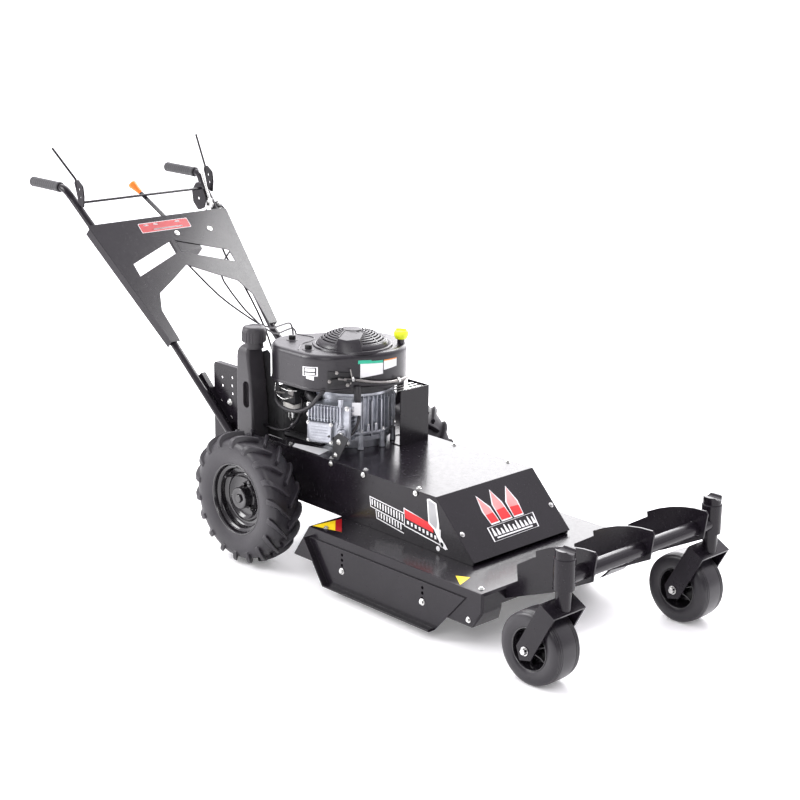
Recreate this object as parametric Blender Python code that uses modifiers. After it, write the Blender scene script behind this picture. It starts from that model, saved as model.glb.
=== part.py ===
"""Walk-behind brush mower, modelled as an assembly of separate pieces.

Units are metres.  +X points forward (towards the front casters), +Y to the machine's left and
+Z up, with the ground at z = 0.  Lengths along X are measured from the rear axle, and the last
step slides the whole machine along X so that the origin lies under the middle of its box.
"""

from math import atan2, cos, pi, radians, sin, sqrt

import bmesh
import bpy
from mathutils import Matrix, Vector

# ---------------------------------------------------------------- driving dimensions
GAP = 0.0003                  # clearance left between pieces that touch
SHEET = 0.004                 # deck and frame plate
CENTRE_SHIFT = -0.0405        # moves the middle of the machine over the origin

REAR_TYRE_R = 0.2065          # 16 x 4.80-8 lug tyre
REAR_TYRE_HALF_W = 0.0604
REAR_WHEEL_Y = 0.329
REAR_RIM_R = 0.1035
AXLE_Z = REAR_TYRE_R
SHAFT_R = 0.0125

CASTER_R = 0.1016             # 8 inch caster wheel
CASTER_HALF_W = 0.0490
CASTER_X = 1.185
KINGPIN_X = 1.256
KINGPIN_Y = 0.310
KINGPIN_TUBE_R = 0.029
KINGPIN_Z = (0.2803, 0.3880)  # bottom and top of the swivel tube
FORK_REACH = 0.150            # axle to the middle of the fork's top plate
FORK_HALF_GAP = 0.0560
FORK_STRAP = 0.006
FORK_HALF_STRAP_W = 0.0285

DECK_HALF_W = 0.327
DECK_TOP_Z = 0.186
DECK_BOTTOM_Z = 0.075
DECK_REAR_X = 0.280
DECK_FRONT_X = 0.992

FRAME_HALF_W = 0.200
COVER_TOP_Z = 0.352
COVER_REAR_X = -0.165
RIDGE_X = 0.685               # where the cover starts to slope down
NOSE_X = 0.839                # lower end of the slope
NOSE_Z = 0.198

BEAM_R = 0.0210
BEAM_Z = 0.309
FRONT_PLATE_YS = {"left": 0.234, "centre": 0.0, "right": -0.234}
FRONT_PLATE_T = 0.006

ENGINE_X = 0.110              # crankshaft axis
ENGINE_BASE_Z = COVER_TOP_Z + GAP
CRANKCASE_TOP_Z = 0.520
CRANKCASE_RIB_R = 0.1345      # reach of the crankcase ribs, with a little clearance
HEAD_ANGLE = radians(-65)     # the cylinder points out to the machine's right
SHROUD_Z = (0.540, 0.655)
SHROUD_CIRCLES = ((-0.005, -0.083, 0.112), (0.090, -0.085, 0.108), (0.100, 0.035, 0.150))
SHROUD_MIDDLE = Vector((0.090, -0.030))
BREATHER_CLEAR = 0.009        # breather pipe's centre line to the housing wall
GUARD_R = 0.111
GUARD_HEIGHT = 0.041
KNOB_PLACES = ((-0.052, -0.105), (0.072, -0.146))
OIL_PLACE = (0.200, 0.120)
SPINDLE_X = 0.640             # blade spindle axis
BLADE_HALF_LEN = 0.300
BLADE_Z = 0.098

HANDLE_TUBE_R = 0.0127
HANDLE_PITCH = radians(43.0)  # slope of the straight run
HANDLE_TOP = Vector((-0.9925, 0.2725, 0.990))
HANDLE_MID = Vector((-0.5157, 0.2031, 0.550))
HANDLE_LOW = Vector((-0.2000, 0.2000, 0.288))
GRIP_Y = 0.283
GRIP_Z = 1.023
GRIP_REAR_X = -1.218
GRIP_FRONT_X = -1.046
GRIP_R = 0.0175
PANEL_T = 0.003

LEVER_PIVOT = Vector((-0.950, 0.0, 0.981))
LEVER_Y = 0.270

TANK_LOW = Vector((-0.155, -0.246, 0.3525))
TANK_HIGH = Vector((-0.077, -0.180, 0.646))
TANK_CAP = Vector((-0.111, -0.209))
TANK_CAP_R = 0.0380

XZ_PLATE = Matrix(((1, 0, 0, 0), (0, 0, -1, 0), (0, 1, 0, 0), (0, 0, 0, 1)))


# ---------------------------------------------------------------- scene and materials
def clear_scene():
    for obj in list(bpy.data.objects):
        bpy.data.objects.remove(obj, do_unlink=True)


def new_collection(name):
    found = bpy.data.collections.get(name) or bpy.data.collections.new(name)
    if name not in bpy.context.scene.collection.children:
        bpy.context.scene.collection.children.link(found)
    return found


clear_scene()
PARTS = new_collection("brush_mower")
CUTTERS = new_collection("cutters")

FINISHES = {                  # base colour, metallic, roughness
    "black_paint": ((0.012, 0.012, 0.013), 0.0, 0.32),
    "black_plastic": ((0.020, 0.020, 0.022), 0.0, 0.48),
    "black_rubber": ((0.018, 0.018, 0.019), 0.0, 0.85),
    "grey_rubber": ((0.070, 0.070, 0.075), 0.0, 0.75),
    "cast_aluminium": ((0.60, 0.60, 0.60), 1.0, 0.45),
    "bare_steel": ((0.56, 0.56, 0.55), 1.0, 0.35),
    "zinc_plate": ((0.72, 0.72, 0.70), 1.0, 0.28),
    "orange_plastic": ((0.85, 0.19, 0.02), 0.0, 0.40),
    "yellow_plastic": ((0.80, 0.72, 0.04), 0.0, 0.40),
}


def paint(obj, finish):
    """Give a piece its own material of the named finish."""
    colour, metallic, roughness = FINISHES[finish]
    mat = bpy.data.materials.new(obj.name + "_" + finish)
    mat.use_nodes = True
    shader = mat.node_tree.nodes["Principled BSDF"]
    shader.inputs["Base Color"].default_value = (*colour, 1.0)
    shader.inputs["Metallic"].default_value = metallic
    shader.inputs["Roughness"].default_value = roughness
    obj.data.materials.clear()
    obj.data.materials.append(mat)


def finish_part(obj, name, finish):
    """Name a built object, paint it and file it with the parts."""
    obj.name = name
    for owner in list(obj.users_collection):
        owner.objects.unlink(obj)
    PARTS.objects.link(obj)
    paint(obj, finish)
    return obj


def hide_tool(obj):
    """File a shape that only cuts or joins another one."""
    for owner in list(obj.users_collection):
        owner.objects.unlink(obj)
    CUTTERS.objects.link(obj)
    obj.hide_render = True
    obj.display_type = "WIRE"


# ---------------------------------------------------------------- shape tools
def from_bmesh(bm, location=(0, 0, 0)):
    mesh = bpy.data.meshes.new("shape")
    bm.to_mesh(mesh)
    bm.free()
    obj = bpy.data.objects.new("shape", mesh)
    obj.location = location
    bpy.context.scene.collection.objects.link(obj)
    return obj


def bevel(obj, width, segments=1):
    mod = obj.modifiers.new("bevel", "BEVEL")
    mod.width = width
    mod.segments = segments
    mod.limit_method = "ANGLE"
    return obj


def box(low, high):
    """A box between two corners."""
    low, high = Vector(low), Vector(high)
    bm = bmesh.new()
    bmesh.ops.create_cube(bm, size=1.0, matrix=Matrix.Diagonal((*(high - low), 1.0)))
    return from_bmesh(bm, (low + high) / 2)


def rod(start, end, radius, sides=24, end_radius=None):
    """A round bar, or a cone when end_radius is given."""
    start, end = Vector(start), Vector(end)
    bm = bmesh.new()
    top = radius if end_radius is None else end_radius
    bmesh.ops.create_cone(bm, cap_ends=True, segments=sides, radius1=radius, radius2=top,
                          depth=(end - start).length)
    obj = from_bmesh(bm, (start + end) / 2)
    obj.rotation_euler = (end - start).to_track_quat("Z", "Y").to_euler()
    obj.data.shade_smooth()
    obj.data.set_sharp_from_angle(angle=radians(35))
    return obj


def turned(profile, location, steps=32, axis="Z", closed=False):
    """A lathe-turned shape from (radius, height) points, listed down its outer side."""
    bm = bmesh.new()
    ring = [bm.verts.new((r, 0.0, h)) for r, h in profile]
    for a, b in zip(ring, ring[1:]):
        bm.edges.new((a, b))
    if closed:
        bm.edges.new((ring[-1], ring[0]))
    obj = from_bmesh(bm, location)
    screw = obj.modifiers.new("turn", "SCREW")
    screw.steps = steps
    screw.render_steps = steps
    screw.use_merge_vertices = True
    screw.merge_threshold = 0.00005
    if axis == "Y":
        obj.rotation_euler = (-pi / 2, 0, 0)
    if axis == "-Y":
        obj.rotation_euler = (pi / 2, 0, 0)
    if axis == "X":
        obj.rotation_euler = (0, pi / 2, 0)
    return obj


def circle(cx, cy, radius, count=12):
    return [(cx + radius * cos(2 * pi * i / count), cy + radius * sin(2 * pi * i / count))
            for i in range(count)]


def rounded(corners, radius, steps=4):
    """Round the corners of a closed outline with arcs; a corner may carry its own radius."""
    out = []
    count = len(corners)
    for i, corner in enumerate(corners):
        p = Vector(corner[:2])
        r = corner[2] if len(corner) > 2 else radius
        a = Vector(corners[i - 1][:2]) - p
        b = Vector(corners[(i + 1) % count][:2]) - p
        half = a.angle(b) / 2
        reach = min(r / max(sin(half), 1e-6) * cos(half), 0.45 * a.length, 0.45 * b.length)
        if r == 0 or half > pi / 2 - 0.02:
            out.append(tuple(p))
            continue
        p0 = p + a.normalized() * reach
        p1 = p + b.normalized() * reach
        out += [tuple(p0 * (1 - t) ** 2 + p * 2 * t * (1 - t) + p1 * t ** 2)
                for t in (k / steps for k in range(steps + 1))]
    return out


def welded_mesh(obj):
    """Turn a curve object into a closed mesh object in the same place."""
    bpy.context.view_layer.update()
    evaluated = obj.evaluated_get(bpy.context.evaluated_depsgraph_get())
    mesh = bpy.data.meshes.new_from_object(evaluated)
    bm = bmesh.new()
    bm.from_mesh(mesh)
    bmesh.ops.remove_doubles(bm, verts=bm.verts, dist=0.00002)
    bmesh.ops.recalc_face_normals(bm, faces=bm.faces)
    bm.to_mesh(mesh)
    bm.free()
    solid = bpy.data.objects.new("shape", mesh)
    bpy.context.scene.collection.objects.link(solid)
    solid.matrix_world = obj.matrix_world.copy()
    bpy.data.objects.remove(obj, do_unlink=True)
    return solid


def plate(outline, thickness, place, holes=()):
    """A flat plate from an outline in the XY plane of the matrix `place`."""
    curve = bpy.data.curves.new("shape", "CURVE")
    curve.dimensions = "2D"
    curve.fill_mode = "BOTH"
    curve.extrude = thickness / 2
    for points in (outline, *holes):
        spline = curve.splines.new("POLY")
        spline.points.add(len(points) - 1)
        for point, (x, y) in zip(spline.points, points):
            point.co = (x, y, 0.0, 1.0)
        spline.use_cyclic_u = True
    obj = bpy.data.objects.new("shape", curve)
    bpy.context.scene.collection.objects.link(obj)
    obj.matrix_world = place
    return welded_mesh(obj)


def side_plate(outline, y_low, y_high, holes=()):
    """A plate that stands across Y, from an outline in world X and Z."""
    place = Matrix.Translation((0, (y_low + y_high) / 2, 0)) @ XZ_PLATE
    return plate(outline, y_high - y_low, place, holes)


def level_plate(outline, z_low, z_high, holes=()):
    """A plate that lies flat, from an outline in world X and Y."""
    return plate(outline, z_high - z_low, Matrix.Translation((0, 0, (z_low + z_high) / 2)), holes)


def bent(points, radius, steps=5):
    """A polyline whose inner corners are replaced by arcs of the given radius."""
    path = [Vector(points[0])]
    for before, corner, after in zip(points, points[1:], points[2:]):
        p = Vector(corner)
        a = Vector(before) - p
        b = Vector(after) - p
        half = a.angle(b) / 2
        reach = min(radius * cos(half) / max(sin(half), 1e-6), 0.45 * a.length, 0.45 * b.length)
        p0 = p + a.normalized() * reach
        p1 = p + b.normalized() * reach
        path += [p0 * (1 - t) ** 2 + p * 2 * t * (1 - t) + p1 * t ** 2
                 for t in (k / steps for k in range(steps + 1))]
    path.append(Vector(points[-1]))
    return path


def flowing(points, count):
    """A smooth Catmull-Rom curve through hand-placed points, read at even parameters."""
    knots = [Vector(p) for p in points]
    knots = [knots[0] * 2 - knots[1], *knots, knots[-1] * 2 - knots[-2]]
    spans = len(knots) - 3
    out = []
    for i in range(count):
        s = i * spans / (count - 1)
        k = min(int(s), spans - 1)
        t = s - k
        p0, p1, p2, p3 = knots[k:k + 4]
        out.append(0.5 * (2 * p1 + (p2 - p0) * t + (2 * p0 - 5 * p1 + 4 * p2 - p3) * t ** 2
                          + (3 * p1 - p0 - 3 * p2 + p3) * t ** 3))
    return out


def tube(path, radius, resolution=4):
    """A solid round bar along a path of points."""
    curve = bpy.data.curves.new("shape", "CURVE")
    curve.dimensions = "3D"
    curve.bevel_depth = radius
    curve.bevel_resolution = resolution
    curve.use_fill_caps = True
    spline = curve.splines.new("POLY")
    spline.points.add(len(path) - 1)
    for point, co in zip(spline.points, path):
        point.co = (*co, 1.0)
    obj = bpy.data.objects.new("shape", curve)
    bpy.context.scene.collection.objects.link(obj)
    return welded_mesh(obj)


def boolean(obj, tool, operation):
    mod = obj.modifiers.new(operation.lower(), "BOOLEAN")
    mod.operation = operation
    mod.solver = "EXACT"
    mod.object = tool
    hide_tool(tool)
    return obj


def cut(obj, *tools):
    for tool in tools:
        boolean(obj, tool, "DIFFERENCE")
    return obj


def fuse(obj, *tools):
    for tool in tools:
        boolean(obj, tool, "UNION")
    return obj


def set_origin(obj, point):
    """Move a piece's origin to a world point and leave its shape where it is."""
    bpy.context.view_layer.update()
    shift = obj.matrix_world.inverted() @ Vector(point)
    obj.data.transform(Matrix.Translation(-shift))
    obj.location = Vector(point)


SIDES = {"left": 1, "right": -1}


# ---------------------------------------------------------------- frame, cover and deck
def frame_sides():
    """Two upright plates that carry the engine, the axle and the cover."""
    outline = rounded([(-0.335, 0.150, 0.01), (0.050, 0.150), (0.085, 0.1865),
                       (0.8330, 0.1865), (0.8330, 0.1990), (RIDGE_X - 0.003, COVER_TOP_Z - 0.0035),
                       (COVER_REAR_X, COVER_TOP_Z - 0.0035), (-0.176, 0.258), (-0.335, 0.232)],
                      0.004, 2)
    for side, s in SIDES.items():
        edge = sorted((s * FRAME_HALF_W, s * (FRAME_HALF_W - SHEET)))
        flange = sorted((s * (FRAME_HALF_W - SHEET / 2), s * (FRAME_HALF_W - 0.025)))
        wall = side_plate(outline, *edge, holes=[circle(0, AXLE_Z, 0.0155, 16)])
        lip = box((COVER_REAR_X + 0.002, flange[0], COVER_TOP_Z - 0.0075),
                  (RIDGE_X - 0.012, flange[1], COVER_TOP_Z - 0.0037))
        finish_part(fuse(wall, lip), "frame_side_" + side, "black_paint")


def belt_cover():
    """The bent sheet over the belt: a level top and a sloping nose, with a hole for the crank."""
    skin = 0.003
    top, nose = Vector((RIDGE_X, COVER_TOP_Z)), Vector((NOSE_X, NOSE_Z))
    slope = (nose - top).normalized()
    inward = Vector((slope.y, -slope.x)) * skin
    inner_ridge = top + Vector((-skin * 0.414, -skin))
    outline = [(COVER_REAR_X, COVER_TOP_Z), tuple(top), tuple(nose), tuple(nose + inward),
               tuple(inner_ridge), (COVER_REAR_X, COVER_TOP_Z - skin)]
    sheet = side_plate(outline, -FRAME_HALF_W - 0.0022, FRAME_HALF_W + 0.0022)
    hole = rod((ENGINE_X, 0, COVER_TOP_Z - 0.02), (ENGINE_X, 0, COVER_TOP_Z + 0.02), 0.030)
    finish_part(cut(sheet, hole), "belt_cover", "black_paint")


def deck_shell():
    """The cutting deck: a plate with skirts, open below and at the rear, notched in front."""
    side = [(0.206, DECK_BOTTOM_Z), (DECK_REAR_X, DECK_TOP_Z), (DECK_FRONT_X, DECK_TOP_Z),
            (DECK_FRONT_X, 0.131), (0.953, DECK_BOTTOM_Z)]
    inner = [(0.150, DECK_BOTTOM_Z - 0.02), (0.230, DECK_TOP_Z - SHEET),
             (DECK_FRONT_X - SHEET, DECK_TOP_Z - SHEET), (DECK_FRONT_X - SHEET, 0.129),
             (0.930, DECK_BOTTOM_Z - 0.02)]
    half = DECK_HALF_W
    shell = bevel(side_plate(side, -half, half), 0.006, 1)
    hollow = side_plate(inner, -half + SHEET, half - SHEET)
    mouth = level_plate([(0.94, -0.210), (1.02, -0.275), (1.02, 0.275), (0.94, 0.210)],
                        0.0, 0.142)
    spindle_hole = rod((SPINDLE_X, 0, 0.16), (SPINDLE_X, 0, 0.21), 0.040)
    finish_part(cut(shell, hollow, mouth, spindle_hole), "deck_shell", "black_paint")


def skid_shoes():
    """Bolt-on skids: a plate on each skirt with flanges turned out along its two lower edges."""
    top_rear, top_front = (0.285, 0.155), (0.930, 0.158)
    low_rear, low_front = (0.372, 0.028), (0.816, 0.028)
    y_in, y_out, reach = DECK_HALF_W + GAP, DECK_HALF_W + 0.0055, 0.020
    holes = [circle(x, z, 0.0048, 8) for x in (0.436, 0.768) for z in (0.140, 0.124, 0.108)]
    rear = Vector(low_rear) - Vector(top_rear)
    normal = Vector((-rear.y, rear.x)).normalized() * 0.005
    rear_lip = [top_rear, low_rear, tuple(Vector(low_rear) + normal),
                tuple(Vector(top_rear) + normal)]
    for side, s in SIDES.items():
        face = side_plate([top_rear, low_rear, low_front, top_front],
                          *sorted((s * y_in, s * y_out)), holes=holes)
        outer = sorted((s * (y_in + 0.001), s * (y_out + reach)))
        sole = side_plate([low_rear, (low_rear[0] + 0.002, low_rear[1] + 0.005),
                           (low_front[0] - 0.004, low_front[1] + 0.005), low_front], *outer)
        lip = side_plate(rear_lip, *outer)
        finish_part(fuse(face, sole, lip), "skid_shoe_" + side, "black_paint")


# ---------------------------------------------------------------- front beam and casters
def front_plates():
    """Three upright arms from the deck's front edge to the front beam."""
    arch = [(1.092, 0.316)] + [(1.092 + 0.200 * t, 0.316 + 0.111 * t - 0.057 * t * t)
                               for t in (0.2, 0.4, 0.6, 0.8, 1.0)]
    outline = [(DECK_FRONT_X + GAP, 0.1840), (1.033, 0.214), (1.028, 0.260), (1.095, 0.302),
               *arch, (1.299, 0.362), (1.289, 0.288), (1.155, 0.218), (DECK_FRONT_X + GAP, 0.152)]
    for side, y in FRONT_PLATE_YS.items():
        hole = circle(KINGPIN_X, BEAM_Z, BEAM_R + GAP, 24)
        arm = side_plate(outline, y - FRONT_PLATE_T / 2, y + FRONT_PLATE_T / 2, holes=[hole])
        finish_part(arm, "front_arm_" + side, "black_paint")


def front_beam():
    """The round beam that carries both swivel tubes, shaped to meet them."""
    beam = rod((KINGPIN_X, -0.300, BEAM_Z), (KINGPIN_X, 0.300, BEAM_Z), BEAM_R, 24)
    ends = [rod((KINGPIN_X, s * KINGPIN_Y, 0.25), (KINGPIN_X, s * KINGPIN_Y, 0.45),
                KINGPIN_TUBE_R + GAP, 24) for s in (1, -1)]
    finish_part(cut(beam, *ends), "front_beam", "black_paint")


def swivel_tubes():
    """Upright tubes for the caster stems, each with a saddle-shaped top and an open bottom."""
    low, high = KINGPIN_Z
    for side, s in SIDES.items():
        y = s * KINGPIN_Y
        body = turned([(0, high), (0.0262, high), (0.0262, high - 0.022),
                       (KINGPIN_TUBE_R, high - 0.025), (KINGPIN_TUBE_R, low), (0, low)],
                      (KINGPIN_X, y, 0), 24)
        bore = rod((KINGPIN_X, y, low - 0.01), (KINGPIN_X, y, high - 0.022), SHAFT_R + 0.0008, 20)
        saddle = rod((KINGPIN_X - 0.04, y, high + 0.012), (KINGPIN_X + 0.04, y, high + 0.012),
                     0.0215, 20)
        finish_part(cut(body, bore, saddle), "swivel_tube_" + side, "black_paint")


def fork_frame():
    """Directions in the fork's side view: down the leg, and across the strap."""
    lean = CASTER_X - KINGPIN_X
    rise = sqrt(FORK_REACH ** 2 - lean ** 2)
    down = Vector((lean, -rise)) / FORK_REACH
    across = Vector((-down.y, down.x))
    return down, across, rise


def fork_outline(down, across, half, start, end, tip):
    """A strap in side view between two distances up from the axle, with a pointed lower end."""
    axle = Vector((CASTER_X, CASTER_R))
    corners = [axle - down * start - across * half, axle - down * end - across * half,
               axle - down * end + across * half, axle - down * start + across * half]
    if tip:
        corners.append(axle + down * tip)
    return [tuple(c) for c in corners]


def caster_forks():
    """Fork of each caster with its welded stem and its axle bolt; origin on the swivel axis."""
    down, across, rise = fork_frame()
    plate_z = CASTER_R + rise
    reach = FORK_HALF_GAP + FORK_STRAP
    outside = fork_outline(down, across, FORK_HALF_STRAP_W, -0.008, FORK_REACH, 0.034)
    inside = fork_outline(down, across, FORK_HALF_STRAP_W * 2, -0.080, FORK_REACH - FORK_STRAP, 0)
    for side, s in SIDES.items():
        y = s * KINGPIN_Y
        block = side_plate(outside, y - reach, y + reach)
        hollow = side_plate(inside, y - FORK_HALF_GAP, y + FORK_HALF_GAP)
        collar = rod((KINGPIN_X, y, plate_z - 0.015), (KINGPIN_X, y, 0.2795), 0.021, 24)
        stem = rod((KINGPIN_X, y, plate_z + 0.020), (KINGPIN_X, y, KINGPIN_Z[1] - 0.024), SHAFT_R, 16)
        shank = rod((CASTER_X, y - reach, CASTER_R), (CASTER_X, y + reach, CASTER_R), 0.0062, 12)
        heads = [rod((CASTER_X, y + t * (reach - 0.002), CASTER_R),
                     (CASTER_X, y + t * (reach + 0.007), CASTER_R), 0.0100, 6) for t in (1, -1)]
        fork = fuse(cut(fuse(block, collar), hollow), stem, shank, *heads)
        finish_part(fork, "caster_fork_" + side, "black_paint")
        set_origin(fork, (KINGPIN_X, y, plate_z))


def caster_wheels():
    """Solid rubber tyre on a moulded rim that is dished on both sides."""
    w, r = CASTER_HALF_W, CASTER_R
    tyre = [(0.062, w * 0.74), (0.082, w), (0.093, w * 0.97), (r, w * 0.50),
            (r, -w * 0.50), (0.093, -w * 0.97), (0.082, -w), (0.062, -w * 0.74)]
    rim = [(0.0068, 0.0545), (0.018, 0.0545), (0.018, 0.010), (0.050, 0.006), (0.0545, 0.033),
           (0.0605, 0.035), (0.0605, -0.035), (0.0545, -0.033), (0.050, -0.006),
           (0.018, -0.010), (0.018, -0.0545), (0.0068, -0.0545)]
    for side, s in SIDES.items():
        centre = (CASTER_X, s * KINGPIN_Y, CASTER_R)
        finish_part(turned(tyre, centre, 24, "Y", closed=True), "caster_tyre_" + side,
                    "black_rubber")
        finish_part(turned(rim, centre, 16, "Y", closed=True), "caster_rim_" + side,
                    "black_plastic")


# ---------------------------------------------------------------- rear wheels and transaxle
def rear_wheels():
    """Hollow lug tyre, and a dished rim with its hub and half shaft."""
    w, r = REAR_TYRE_HALF_W, REAR_TYRE_R
    outer = [(0.1047, 0.0455), (0.117, 0.0460), (0.140, 0.0570), (0.176, w), (0.198, 0.053),
             (r, 0.041)]
    inner = [(0.194, 0.040), (0.145, 0.049), (0.1047, 0.038)]
    tyre = outer + [(a, -b) for a, b in reversed(outer)]
    tyre += [(a, -b) for a, b in reversed(inner)] + inner
    rim = [(0, 0.047), (0.0125, 0.047), (0.0125, 0.038), (0.034, 0.036), (0.034, 0.012),
           (0.070, 0.006), (0.092, 0.012), (0.0995, 0.022), (0.0995, 0.0493), (0.1140, 0.0493),
           (0.1140, 0.0463), (REAR_RIM_R, 0.0463), (REAR_RIM_R, -0.0463), (0.1140, -0.0463),
           (0.1140, -0.0493), (0.0995, -0.0493), (0.0995, 0.014), (0.092, 0.007), (0.070, 0.002),
           (0.034, 0.002), (0.034, -0.034), (SHAFT_R, -0.036), (SHAFT_R, -0.290), (0, -0.290)]
    for side, s in SIDES.items():
        centre = (0, s * REAR_WHEEL_Y, AXLE_Z)
        facing = "Y" if s > 0 else "-Y"
        finish_part(turned(tyre, centre, 24, facing, closed=True), "rear_tyre_" + side,
                    "black_rubber")
        finish_part(turned(rim, centre, 20, facing), "rear_rim_" + side, "black_paint")


def transaxle():
    """The gearbox on the rear axle, with bored axle tubes that the half shafts run in."""
    case = bevel(box((-0.085, -0.095, 0.135), (0.085, 0.095, 0.256)), 0.018, 1)
    arms = [rod((0, s * 0.080, AXLE_Z), (0, s * 0.190, AXLE_Z), 0.027, 20) for s in (1, -1)]
    neck = rod((0, 0, 0.245), (0, 0, 0.305), 0.022, 16)
    bores = [rod((0, s * 0.030, AXLE_Z), (0, s * 0.200, AXLE_Z), SHAFT_R + 0.0006, 24)
             for s in (1, -1)]
    finish_part(cut(fuse(case, *arms, neck), *bores), "transaxle", "cast_aluminium")


# ---------------------------------------------------------------- engine
def crankcase():
    """The round, ribbed crankcase on its mounting flange."""
    z = ENGINE_BASE_Z
    body = turned([(0, 0.520), (0.112, 0.520), (0.118, 0.505), (0.118, 0.400), (0.126, 0.392),
                   (0.126, 0.378), (0.112, 0.374), (0.112, z), (0, z)], (ENGINE_X, 0, 0), 24)
    ribs = []
    for k in range(7):
        angle = radians(-30 + 15 * k)
        rib = box((0.105, -0.0025, 0.392), (0.134, 0.0025, 0.505))
        rib.data.transform(Matrix.Translation(rib.location))
        rib.location = (ENGINE_X, 0, 0)
        rib.rotation_euler = (0, 0, angle)
        ribs.append(rib)
    bore = rod((ENGINE_X, 0, z - 0.01), (ENGINE_X, 0, 0.505), 0.0135, 20)
    neck = rod((ENGINE_X, 0, 0.50), (ENGINE_X, 0, 0.53), 0.0135, 20)
    finish_part(cut(fuse(body, *ribs), bore, neck), "crankcase", "cast_aluminium")


def cylinder_head():
    """Cylinder, head and rocker cover, pointing out to the machine's right."""
    block = box((0.133, -0.062, 0.392), (0.172, 0.062, 0.500))
    head = bevel(box((0.170, -0.070, 0.385), (0.188, 0.070, 0.506)), 0.006, 1)
    cover = bevel(box((0.186, -0.050, 0.402), (0.203, 0.050, 0.492)), 0.006, 1)
    for piece in (block, head, cover):
        piece.data.transform(Matrix.Translation(piece.location))
        piece.location = (ENGINE_X, 0, 0)
        piece.rotation_euler = (0, 0, HEAD_ANGLE)
    finish_part(fuse(block, head, cover), "cylinder_head", "cast_aluminium")


def shroud_outline(offset=0.0):
    """Plan of the blower housing: the outline that wraps its three round parts."""
    points = []
    for k in range(32):
        angle = 2 * pi * k / 32
        ray = Vector((cos(angle), sin(angle)))
        x, y, r = max(SHROUD_CIRCLES, key=lambda c: Vector(c[:2]).dot(ray) + c[2])
        points.append((x + (r + offset) * ray.x, y + (r + offset) * ray.y))
    return points


def beside_shroud(heading, clearance):
    """Point beside the housing's wall, in a heading from its middle."""
    reaches = []
    for k in range(-30, 31):
        angle = heading + radians(2.0 * k)
        ray = Vector((cos(angle), sin(angle)))
        wall = max(Vector((x, y)).dot(ray) + r for x, y, r in SHROUD_CIRCLES) + clearance
        reaches.append((wall - SHROUD_MIDDLE.dot(ray)) / cos(angle - heading))
    return SHROUD_MIDDLE + Vector((cos(heading), sin(heading))) * min(reaches)


def blower_housing():
    """The moulded housing over the flywheel, hollow and open below."""
    low, high = SHROUD_Z
    shell = bevel(level_plate(shroud_outline(), low, high), 0.008, 1)
    hollow = level_plate(shroud_outline(-0.004), low - 0.02, high - 0.004)
    eye = rod((ENGINE_X, 0, high - 0.03), (ENGINE_X, 0, high + 0.02), 0.098, 32)
    screws = [rod((x, y, high - 0.02), (x, y, high + 0.02), 0.0052, 12) for x, y in KNOB_PLACES]
    filler = rod((*OIL_PLACE, high - 0.03), (*OIL_PLACE, high + 0.03), 0.0135, 16)
    finish_part(cut(shell, hollow, eye, *screws, filler), "blower_housing", "black_plastic")


def finger_guard():
    """The slotted dome over the fan."""
    z = SHROUD_Z[1] + GAP
    height = GUARD_HEIGHT
    outer = [(GUARD_R * cos(a), z + 0.006 + height * sin(a)) for a in
             (radians(d) for d in (90, 70, 52, 36, 20, 6))]
    profile = [(max(r, 0.0), h) for r, h in outer] + [(0.112, z), (0.104, z)]
    inner = [(0.106 * cos(a), z + 0.001 + (height - 0.003) * sin(a)) for a in
             (radians(d) for d in (20, 45, 68, 90))]
    profile += [(r if r > 1e-6 else 0.0, h) for r, h in inner]
    dome = turned(profile, (ENGINE_X, 0, 0), 24)
    slots = []
    for k in range(8):
        slot = box((0.050, -0.009, z - 0.01), (0.096, 0.009, z + 0.08))
        slot.data.transform(Matrix.Translation(slot.location))
        slot.location = (ENGINE_X, 0, 0)
        slot.rotation_euler = (0, 0, radians(45 * k + 22.5))
        slots.append(slot)
    finish_part(cut(dome, *slots), "finger_guard", "black_plastic")


def air_cleaner_knobs():
    """Two screw knobs that hold the air-cleaner lid."""
    z = SHROUD_Z[1]
    for number, (x, y) in enumerate(KNOB_PLACES, 1):
        knob = turned([(0, z + 0.013), (0.0095, z + 0.013), (0.0110, z + 0.010),
                       (0.0110, z + GAP), (0.0045, z + GAP), (0.0045, z - 0.016),
                       (0, z - 0.016)], (x, y, 0), 14)
        finish_part(knob, "air_cleaner_knob_%d" % number, "black_plastic")
        set_origin(knob, (x, y, z))


def crank_and_fan():
    """Crankshaft with the engine pulley under the cover, and the fan wheel above."""
    bar = [(0, 0.575), (0.0125, 0.575), (0.0125, 0.300), (0.050, 0.298), (0.050, 0.294),
           (0.038, 0.285), (0.050, 0.276), (0.050, 0.272), (0.0125, 0.270), (0.0125, 0.262),
           (0, 0.262)]
    finish_part(turned(bar, (ENGINE_X, 0, 0), 20), "crankshaft", "bare_steel")
    hub = turned([(0.0131, 0.600), (0.030, 0.600), (0.034, 0.585), (0.090, 0.580),
                  (0.090, 0.560), (0.0131, 0.560)], (ENGINE_X, 0, 0), 20, closed=True)
    fins = []
    for k in range(8):
        fin = box((0.045, -0.0015, 0.575), (0.088, 0.0015, 0.612))
        fin.data.transform(Matrix.Translation(fin.location))
        fin.location = (ENGINE_X, 0, 0)
        fin.rotation_euler = (0, 0, radians(45 * k))
        fins.append(fin)
    finish_part(fuse(hub, *fins), "flywheel_fan", "black_plastic")


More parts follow.
